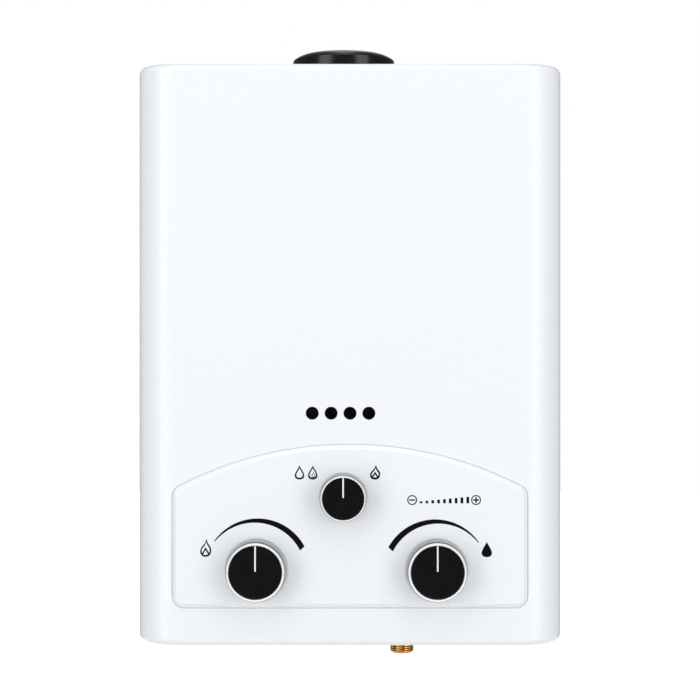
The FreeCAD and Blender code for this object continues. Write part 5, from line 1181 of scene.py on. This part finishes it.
# --- panel signs ----------------------------------------------------------------------------------
@dataclass
class PanelSigns:
    """Black signs printed on the raised panel: scales, flames, drops and a rising row of ticks.

    level and ink are in metres. The signs' places, sizes and lines are in millimetres.
    """

    level: float = -0.1262
    ink: float = 0.00004
    scale_outer: tuple[Pair, Pair, Pair] = ((-26.6, 18.3), (-0.7, 32.4), (30.6, 14.7))
    scale_inner: tuple[Pair, Pair, Pair] = ((-26.4, 17.5), (-0.7, 29.75), (27.7, 12.1))
    scale_lift: float = -0.6
    drop_pinch: float = 1.7
    core_peak: float = 0.55
    core_foot: float = 0.16
    core_reach: float = 0.34
    core_leg: float = 1.0
    flame_shape: tuple[Pair, ...] = (
        (0.02, -0.5), (0.3, -0.44), (0.47, -0.24), (0.46, 0.0), (0.3, 0.17), (0.17, 0.32), (0.08, 0.5),
        (-0.02, 0.33), (-0.14, 0.2), (-0.34, 0.06), (-0.48, -0.16), (-0.42, -0.36), (-0.22, -0.48))
    gas_flame: Pair = (-91.5, -122.75)
    gas_flame_size: Pair = (7.2, 11.2)
    gas_flame_line: float = 1.02
    winter_flame: Pair = (15.9, -74.8)
    winter_flame_size: Pair = (6.7, 9.2)
    winter_flame_line: float = 1.1
    summer_drops: tuple[Pair, Pair] = ((-32.0, -74.9), (-23.6, -74.9))
    summer_drop_size: Pair = (6.0, 9.0)
    summer_hollow_size: Pair = (4.05, 6.15)
    summer_hollow_fall: float = 0.3
    small_flame_off: Pair = (0.35, -1.5)
    small_flame_size: Pair = (2.3, 3.6)
    small_flame_line: float = 0.4
    water_drop: Pair = (86.7, -123.7)
    water_drop_size: Pair = (6.5, 9.9)
    less: Pair = (39.4, -92.4)
    more: Pair = (79.9, -92.4)
    disc_r: float = 3.15
    disc_hole_r: float = 2.45
    cross_arm: float = 1.85
    cross_half: float = 0.48
    ticks: int = 9
    tick_start: Pair = (44.2, -94.5)
    tick_pitch: float = 3.7
    tick_wide: float = 1.7
    tick_low: float = 1.3
    tick_growth: float = 0.35

    def print_on(self, name: str, groups: Iterable[Sequence[Sequence[Pair]]]) -> None:
        """Lays one sign of black ink on the panel.

        Args:
            name: the sign's name.
            groups: its separate marks, each an outline in millimetres and its holes.
        """
        form = Form()
        for loops in groups:
            marks = [[(x * MM, z * MM) for x, z in loop] for loop in loops]
            form.plate(marks, self.level - self.ink, self.level + self.ink)
        form.piece(name, SIGN_INK, "case")

    def scale(self, knob: Pair, mirror: int, lift: float) -> list[Pair]:
        """A tapered arc over a knob.

        Args:
            knob: the knob's middle, in metres.
            mirror: 1, or -1 to turn the arc round.
            lift: how far up it is moved.

        Returns:
            Its outline.
        """
        outer = through(*self.scale_outer, 40)
        inner = through(*self.scale_inner, 40)
        return [(knob[0] / MM + mirror * x, knob[1] / MM + z + lift) for x, z in outer + inner[::-1]]

    def flame(self, centre: Pair, width: float, height: float) -> list[Pair]:
        """The outline of a flame."""
        loop = smooth_loop(self.flame_shape)
        return [(centre[0] + x * width, centre[1] + z * height) for x, z in loop]

    def drop(self, centre: Pair, width: float, height: float, steps: int = 44) -> list[Pair]:
        """The outline of a water drop.

        Args:
            centre: the middle of the drop.
            width: its width.
            height: its height.
            steps: how many points it has.

        Returns:
            The points.
        """
        turns = [math.tau * (i + 0.5) / steps for i in range(steps)]
        swells = [math.sin(a) * abs(math.sin(a / 2)) ** self.drop_pinch for a in turns]
        share = width / 2 / max(swells)
        rises = [math.cos(a) * height / 2 for a in turns]
        return [(centre[0] + swell * share, centre[1] + rise) for swell, rise in zip(swells, rises)]

    def flame_sign(self, centre: Pair, width: float, height: float, line: float) -> list[list[list[Pair]]]:
        """A flame drawn in outline, with a peaked core that stands on its foot.

        Args:
            centre: the middle of the outer flame.
            width: of the outer flame.
            height: of the outer flame.
            line: thickness of the lines.

        Returns:
            The outline with its hole, and the core.
        """
        hollow = (centre[0], centre[1] - line * 0.35)
        ring = [self.flame(centre, width, height), self.flame(hollow, width - 2 * line, height - 3.0 * line)]
        foot = centre[1] - height / 2
        peak, low = foot + self.core_peak * height, foot + self.core_foot * height
        reach, leg = self.core_reach * width, self.core_leg * line
        fall = leg * (peak - low) / reach
        core = [(0.0, peak), (reach, low), (reach - leg, low), (0.0, peak - fall), (leg - reach, low),
                (-reach, low)]
        return [ring, [[(centre[0] + x, z) for x, z in core]]]

    def sign_disc(self, centre: Pair, plus: bool) -> list[list[list[Pair]]]:
        """A ring with a minus or a plus in it.

        Args:
            centre: the middle of the ring.
            plus: whether it holds a plus.

        Returns:
            The marks, each an outline and its hole.
        """
        x, z = centre
        arm, half = self.cross_arm, self.cross_half
        ring = [circle(centre, self.disc_r, 40), circle(centre, self.disc_hole_r, 40)]
        if not plus:
            bar = [(x - arm, z - half), (x + arm, z - half), (x + arm, z + half), (x - arm, z + half)]
            return [ring, [bar]]
        cross = []
        for turn in range(4):
            a = math.pi / 2 * turn
            for u, w in ((arm, -half), (arm, half), (half, half)):
                cross.append((x + u * math.cos(a) - w * math.sin(a), z + u * math.sin(a) + w * math.cos(a)))
        return [ring, [cross]]

    def build(self) -> None:
        """Prints all the signs."""
        self.print_on("gas_scale", [[self.scale(GAS_KNOB, 1, 0.0)]])
        self.print_on("temperature_scale", [[self.scale(TEMPERATURE_KNOB, -1, self.scale_lift)]])
        flames = self.flame_sign(self.gas_flame, *self.gas_flame_size, self.gas_flame_line)
        flames += self.flame_sign(self.winter_flame, *self.winter_flame_size, self.winter_flame_line)
        self.print_on("gas_flame_signs", flames)
        drops = []
        for x, z in self.summer_drops:
            hollow = self.drop((x, z - self.summer_hollow_fall), *self.summer_hollow_size)
            drops.append([self.drop((x, z), *self.summer_drop_size), hollow])
        small = (x + self.small_flame_off[0], z + self.small_flame_off[1])
        drops += self.flame_sign(small, *self.small_flame_size, self.small_flame_line)[:1]
        self.print_on("season_drop_signs", drops)
        self.print_on("water_drop_sign", [[self.drop(self.water_drop, *self.water_drop_size)]])
        self.print_on("less_more_signs", self.sign_disc(self.less, False) + self.sign_disc(self.more, True))
        ticks = []
        for i in range(self.ticks):
            x, z = self.tick_start[0] + i * self.tick_pitch, self.tick_start[1]
            end, top = x + self.tick_wide, z + self.tick_low + i * self.tick_growth
            ticks.append([[(x, z), (end, z), (end, top), (x, top)]])
        self.print_on("tick_row", ticks)


# --- brass fittings -------------------------------------------------------------------------------
@dataclass
class Fitting:
    """A turned brass fitting along Z: threads and hexagons, row by row.

    crest is the share of the pitch that a thread's flat crest takes, deep the groove's depth as a share
    of it, and gap the step from a thread to the next row. corners says how far in from a hexagon's end
    each row of its chamfer is, and how far out to the corners. A row is its radius, its z, its groove's
    depth and the hexagon across its flats.
    """

    name: str
    node: str
    x: float
    y: float
    pitch: float
    crest: float = 0.3
    deep: float = 0.54
    gap: float = 0.0001
    corners: tuple[Pair, ...] = ((0.0, 0.0), (0.0004, 0.45), (0.0009, 1.0))
    thread_rows: int = 8
    capped: bool = False
    rows: list[list[float]] = field(default_factory=list)
    steps: int = 96

    def plain(self, radius: float, z: float) -> None:
        """Adds a round row."""
        self.rows.append([radius, z, 0.0, 0.0])

    def thread(self, radius: float, low: float, high: float, chamfer: float) -> None:
        """Adds a screw thread.

        Args:
            radius: over its crests.
            low: where it starts.
            high: where it ends.
            chamfer: how far its lower end is chamfered.
        """
        count = round((high - low) / self.pitch * self.thread_rows)
        for i in range(count + 1):
            z = low + (high - low) * i / count
            crest = radius - max(0.0, chamfer - (z - low)) - max(0.0, 0.3 * chamfer - (high - z))
            self.rows.append([crest, z, self.deep * self.pitch, 0.0])

    def hexagon(self, across: float, low: float, high: float) -> None:
        """Adds a hexagon with chamfered corners.

        Args:
            across: its width across the flats.
            low: where it starts.
            high: where it ends.
        """
        corner = across / math.sqrt(3)
        rows = [(low + rise, share) for rise, share in self.corners]
        rows += [(high - rise, share) for rise, share in reversed(self.corners)]
        for z, share in rows:
            self.rows.append([across / 2 + (corner - across / 2) * share, z, 0.0, across])

    def ring(self, form: Form, row: list[float]) -> Ring:
        """Adds one row of vertices.

        Args:
            form: the mesh to add to.
            row: radius, z, depth of the groove, and width of the hexagon or 0.

        Returns:
            The row.
        """
        radius, z, groove, across = row
        points = []
        for i in range(self.steps):
            a = math.tau * i / self.steps
            r = radius
            if across:
                off = (a % (math.pi / 3)) - math.pi / 6
                r = min(radius, across / 2 / math.cos(off))
            if groove:
                phase = (z / self.pitch - i / self.steps) % 1.0
                depth = max(0.0, 1 - abs(phase - 0.5) * 2 - self.crest) / (1 - self.crest)
                r -= min(groove * 0.9, groove * depth)
            points.append((self.x + r * math.cos(a), self.y + r * math.sin(a), z))
        return form.ring(points)

    def profile(self) -> None:
        """Adds the fitting's rows. Each kind of fitting has its own."""
        raise NotImplementedError

    def build(self) -> None:
        """Builds and dresses the fitting."""
        self.profile()
        form = Form()
        rings = [self.ring(form, row) for row in self.rows]
        if self.capped:
            form.solid_of(rings)
        else:
            form.stack([*rings, rings[0]])
        # Faces in the thread grooves, below each row's root radius, take the dark finish: painted shade.
        shade_radii = [min(row[0] - 0.3 * row[2], row[0]) for row in self.rows]
        made = form.piece(self.name, BRASS, "case", self.node, (self.x, self.y, 0.0), crease=22)
        made.data.materials.append(THREAD_ROOT_SHADE.material())
        for i, polygon in enumerate(made.data.polygons):
            row = self.rows[i // self.steps]
            if row[2] and polygon.center.xy.length < shade_radii[i // self.steps]:
                polygon.material_index = 1


@dataclass
class GasInlet(Fitting):
    """The gas inlet: thread, hexagon and the spigot that enters the valve."""

    name: str = "gas_inlet_thread"
    node: str = "gas_inlet_fitting"
    x: float = 0.0347
    y: float = -0.062
    pitch: float = 0.001411
    end: float = -0.2004
    bore_r: float = 0.003
    mouth_r: float = 0.0045
    mouth_deep: float = 0.0012
    face_r: float = 0.0066
    thread_r: float = 0.00794
    thread_long: float = 0.0170
    chamfer: float = 0.0011
    neck_r: float = 0.0071
    across: float = 0.01748
    hexagon_top: float = -0.1706
    spigot_r: float = 0.0049
    spigot_long: float = 0.008
    soft: float = 0.0002

    def profile(self) -> None:
        """Adds the rows, from the bore's mouth round to the spigot's end."""
        thread_top = self.end + self.thread_long
        top = self.hexagon_top + self.spigot_long
        self.plain(self.bore_r, self.end + self.mouth_deep)
        self.plain(self.mouth_r, self.end)
        self.plain(self.face_r, self.end)
        self.thread(self.thread_r, self.end + self.gap, thread_top, self.chamfer)
        self.plain(self.neck_r, thread_top + self.gap)
        self.hexagon(self.across, thread_top + 3 * self.gap, self.hexagon_top)
        self.plain(self.spigot_r, self.hexagon_top)
        self.plain(self.spigot_r, top - self.soft)
        self.plain(self.spigot_r - self.soft, top)
        self.plain(self.bore_r, top)


@dataclass
class WaterConnection(Fitting):
    """A water connection: thread with a socket in it, relief, hexagon and stem.

    A capped one has a closed stem, whose bore ends cap below the top.
    """

    y: float = -0.029
    pitch: float = 0.001814
    top: float = -0.1511
    stem_r: float = 0.0076
    bore_r: float = 0.0048
    middle_r: float = 0.0004
    cap: float = 0.005
    end: float = -0.199
    socket_r: float = 0.00798
    socket_deep: float = 0.006
    socket_soft: float = 0.0003
    face_r: float = 0.0096
    thread_r: float = 0.01048
    thread_long: float = 0.0124
    chamfer: float = 0.0008
    relief_r: float = 0.0094
    across: float = 0.02396
    hexagon_foot: float = -0.1827
    hexagon_high: float = 0.008
    soft: float = 0.0004

    def profile(self) -> None:
        """Adds the rows, from the top of the bore down to the face and up to the stem's end."""
        thread_top = self.end + self.thread_long
        hexagon_top = self.hexagon_foot + self.hexagon_high
        if self.capped:
            self.plain(self.middle_r, self.top - self.cap)
            self.plain(self.bore_r, self.top - self.cap)
        self.plain(self.bore_r, self.end + self.socket_deep)
        self.plain(self.socket_r, self.end + self.socket_deep)
        self.plain(self.socket_r, self.end + self.socket_soft)
        self.plain(self.socket_r + self.socket_soft, self.end)
        self.plain(self.face_r, self.end)
        self.thread(self.thread_r, self.end + self.gap, thread_top, self.chamfer)
        self.plain(self.relief_r, thread_top + 2 * self.gap)
        self.plain(self.relief_r, self.hexagon_foot - self.gap)
        self.hexagon(self.across, self.hexagon_foot, hexagon_top)
        self.plain(self.stem_r, hexagon_top)
        self.plain(self.stem_r, self.top - self.soft)
        self.plain(self.stem_r - self.soft, self.top)
        self.plain(self.middle_r if self.capped else self.bore_r, self.top)


@dataclass
class InletElbow:
    """The cold inlet's side arm, which meets the water valve's back."""

    x: float = 0.064
    z: float = -0.1365
    back: float = -0.029
    front: float = -0.0409
    radius: float = 0.0085
    bore: float = 0.005
    soft: float = 0.0004
    steps: int = 64

    def build(self) -> None:
        """Builds and dresses the arm."""
        form = Form()
        soft, neck, floor = self.soft, self.radius - 2 * self.soft, self.back - 0.004
        rows = [(soft, self.back), (neck, self.back), (neck, self.back - 0.006),
                (self.radius, self.back - 0.0068), (self.radius, self.front + soft),
                (self.radius - soft, self.front), (self.bore + soft, self.front),
                (self.bore, self.front + soft), (self.bore, floor), (soft, floor)]
        form.solid_of(form.lathe(rows, (self.x, self.z), self.steps))
        form.piece("water_inlet_elbow", BRASS, "case", origin=(self.x, self.back, self.z))


# --- springs --------------------------------------------------------------------------------------
@dataclass
class Spring:
    """Round-wire compression spring along X."""

    node: str
    joint: str
    travel: float
    wire: float
    turns: float
    steps: int = 36
    sides: int = 12

    def build(self) -> None:
        """Builds and dresses the spring between the ends of its node."""
        low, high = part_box(self.node)
        hub = (Vector(low) + Vector(high)) / 2
        radius = (high[2] - low[2]) / 2 - self.wire
        start = low[0] + self.wire
        length = high[0] - self.wire - start
        count = round(self.turns * self.steps)
        lean = math.atan2(length / self.turns, math.tau * radius)
        form = Form()
        rings = []
        for i in range(count + 1):
            turn = math.tau * i / self.steps
            out = Vector((0.0, math.cos(turn), math.sin(turn)))
            round_x = Vector((0.0, -math.sin(turn), math.cos(turn)))
            along = Vector((math.sin(lean), 0.0, 0.0)) + round_x * math.cos(lean)
            across = along.cross(out)
            centre = Vector((start + length * i / count, hub.y, hub.z)) + out * radius
            section = circle((0, 0), self.wire, self.sides)
            rings.append(form.ring(centre + (out * u + across * w) for u, w in section))
        form.solid_of(rings)
        made = form.piece(self.node + "_coil", SPRING_STEEL, "case", self.node)
        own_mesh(made)


# --- studio ---------------------------------------------------------------------------------------
@dataclass
class Softbox:
    """A soft rectangular lamp that looks at the heater.

    seen says whether glossy pieces mirror it.
    """

    name: str
    azimuth: float
    elevation: float
    distance: float
    width: float
    height: float
    level: float
    seen: bool = True

    def build(self, target: Vector) -> None:
        """Hangs the lamp.

        Args:
            target: the point that it looks at.
        """
        data = bpy.data.lights.new(self.name, "AREA")
        data.shape = "RECTANGLE"
        data.size = self.width
        data.size_y = self.height
        data.energy = self.level * math.pi * self.width * self.height
        a, e = math.radians(self.azimuth), math.radians(self.elevation)
        back = Vector((math.sin(a) * math.cos(e), -math.cos(a) * math.cos(e), math.sin(e)))
        lamp = place(self.name, data)
        lamp.location = target + back * self.distance
        lamp.visible_glossy = self.seen
        lamp.rotation_euler = back.to_track_quat("Z", "Y").to_euler()


@dataclass
class Studio:
    """Camera, lamps, world and floor."""

    camera_x: float = 0.0
    camera_y: float = -1.244
    camera_z: float = 0.020
    lens: float = 90.7
    shift: float = -0.0390
    sensor: float = 36.0
    target: Colour = (0.0, -0.06, 0.0)
    white: float = 1.0
    fill: float = 0.559
    floor_z: float = -1.25
    floor_half: float = 12.0
    floor_tone: float = 0.72
    floor_glow: float = 0.9
    curtain_r: float = 2.6
    curtain_glow: float = 0.14
    curtain_half: float = 172.0
    curtain_low: float = -1.2
    curtain_high: float = 9.0
    curtain_steps: int = 36
    lamps: tuple[Softbox, ...] = (
        Softbox("left softbox", -43.0, 6.0, 1.7, 0.86, 2.3, 1.96),
        Softbox("right softbox", 43.0, 6.0, 1.7, 0.86, 2.3, 1.96),
        Softbox("top softbox", 0.0, 62.0, 1.8, 1.5, 1.1, 1.3),
        Softbox("back softbox", 180.0, 35.0, 2.0, 1.6, 1.2, 0.8, seen=False),
    )

    def camera(self) -> None:
        """Sets up the camera in front of the case."""
        data = bpy.data.cameras.new("camera")
        data.lens = self.lens
        data.sensor_width = self.sensor
        data.shift_y = self.shift
        made = place("camera", data)
        made.location = (self.camera_x, self.camera_y, self.camera_z)
        made.rotation_euler = (math.radians(90), 0.0, 0.0)
        bpy.context.scene.camera = made

    def world(self) -> None:
        """White surroundings that light the object more softly than they show."""
        made = bpy.data.worlds.new("studio")
        made.use_nodes = True
        graph = Graph(made.node_tree)
        level = graph.add("ShaderNodeMapRange", Value=graph.rays(), To_Min=self.fill, To_Max=self.white)
        ground = graph.tree.nodes["Background"].inputs
        graph.put(ground["Color"], WHITE)
        graph.put(ground["Strength"], level.outputs["Result"])
        bpy.context.scene.world = made

    def backdrop(self, graph: Surface, points: Sequence[Colour],
                 faces: Sequence[tuple[int, ...]]) -> bpy.types.Object:
        """Adds a sheet of the studio.

        Args:
            graph: its material, whose name it takes.
            points: its vertices.
            faces: the vertices of each face.

        Returns:
            The sheet.
        """
        data = bpy.data.meshes.new(graph.material.name)
        data.from_pydata(points, [], faces)
        data.materials.append(graph.material)
        made = place(graph.material.name, data)
        return made

    def floor(self) -> None:
        """A pale floor below the hanging heater, which keeps its shadow."""
        graph = Surface("floor")
        glow = graph.add("ShaderNodeMapRange", Value=graph.rays(), To_Max=self.floor_glow)
        tone = self.floor_tone
        graph.feed(Base_Color=(tone, tone, tone, 1.0), Roughness=0.9, Specular_IOR_Level=0.0,
                   Emission_Color=WHITE, Emission_Strength=glow.outputs["Result"])
        half = self.floor_half
        corners = [(-half, -half, 0.0), (half, -half, 0.0), (half, half, 0.0), (-half, half, 0.0)]
        self.backdrop(graph, corners, [(0, 1, 2, 3)]).location.z = self.floor_z

    def curtain(self) -> None:
        """A dark curtain round the studio, which only reflections show."""
        graph = Surface("curtain")
        graph.feed(Base_Color=BLACK, Specular_IOR_Level=0.0, Emission_Color=WHITE,
                   Emission_Strength=self.curtain_glow)
        points, faces = [], []
        steps = self.curtain_steps
        for i in range(steps + 1):
            a = math.radians(self.curtain_half * (2 * i / steps - 1))
            x, y = self.curtain_r * math.sin(a), -self.curtain_r * math.cos(a)
            points += [(x, y, self.curtain_low), (x, y, self.curtain_high)]
        for i in range(0, 2 * steps, 2):
            faces.append((i, i + 1, i + 3, i + 2))
        made = self.backdrop(graph, points, faces)
        made.visible_camera = False
        made.visible_diffuse = False
        made.visible_transmission = False
        made.visible_shadow = False

    def build(self) -> None:
        """Sets up the whole studio."""
        self.camera()
        self.world()
        self.floor()
        self.curtain()
        for lamp in self.lamps:
            lamp.build(Vector(self.target))
        bpy.context.scene.view_settings.view_transform = "Standard"
        LOG.info("studio: %d lamps", len(self.lamps))


def main() -> None:
    """Builds the scene in order."""
    logging.basicConfig(level=logging.INFO, format="%(message)s")
    dress_nodes()
    FrontCover().build()
    FlueCollar().build()
    Knob("gas", GAS_KNOB).build()
    Knob("season", SEASON_KNOB, base_r=0.0154, front_r=0.0147, band=0.0038, ring=0.00145).build()
    Knob("temperature", TEMPERATURE_KNOB).build()
    PanelSigns().build()
    GasInlet().build()
    WaterConnection("water_inlet_thread", "water_inlet_fitting", 0.064, top=-0.1275, stem_r=0.009,
                    bore_r=0.0055, capped=True).build()
    WaterConnection("hot_outlet_thread", "hot_outlet_fitting", -0.092).build()
    InletElbow().build()
    Spring("valve_spring", "push_rod_slide", 0.004, 0.0006, 5).build()
    Spring("solenoid_spring", "safety_plunger_slide", 0.003, 0.0004, 4).build()
    Studio().build()


if __name__ == "__main__":
    main()
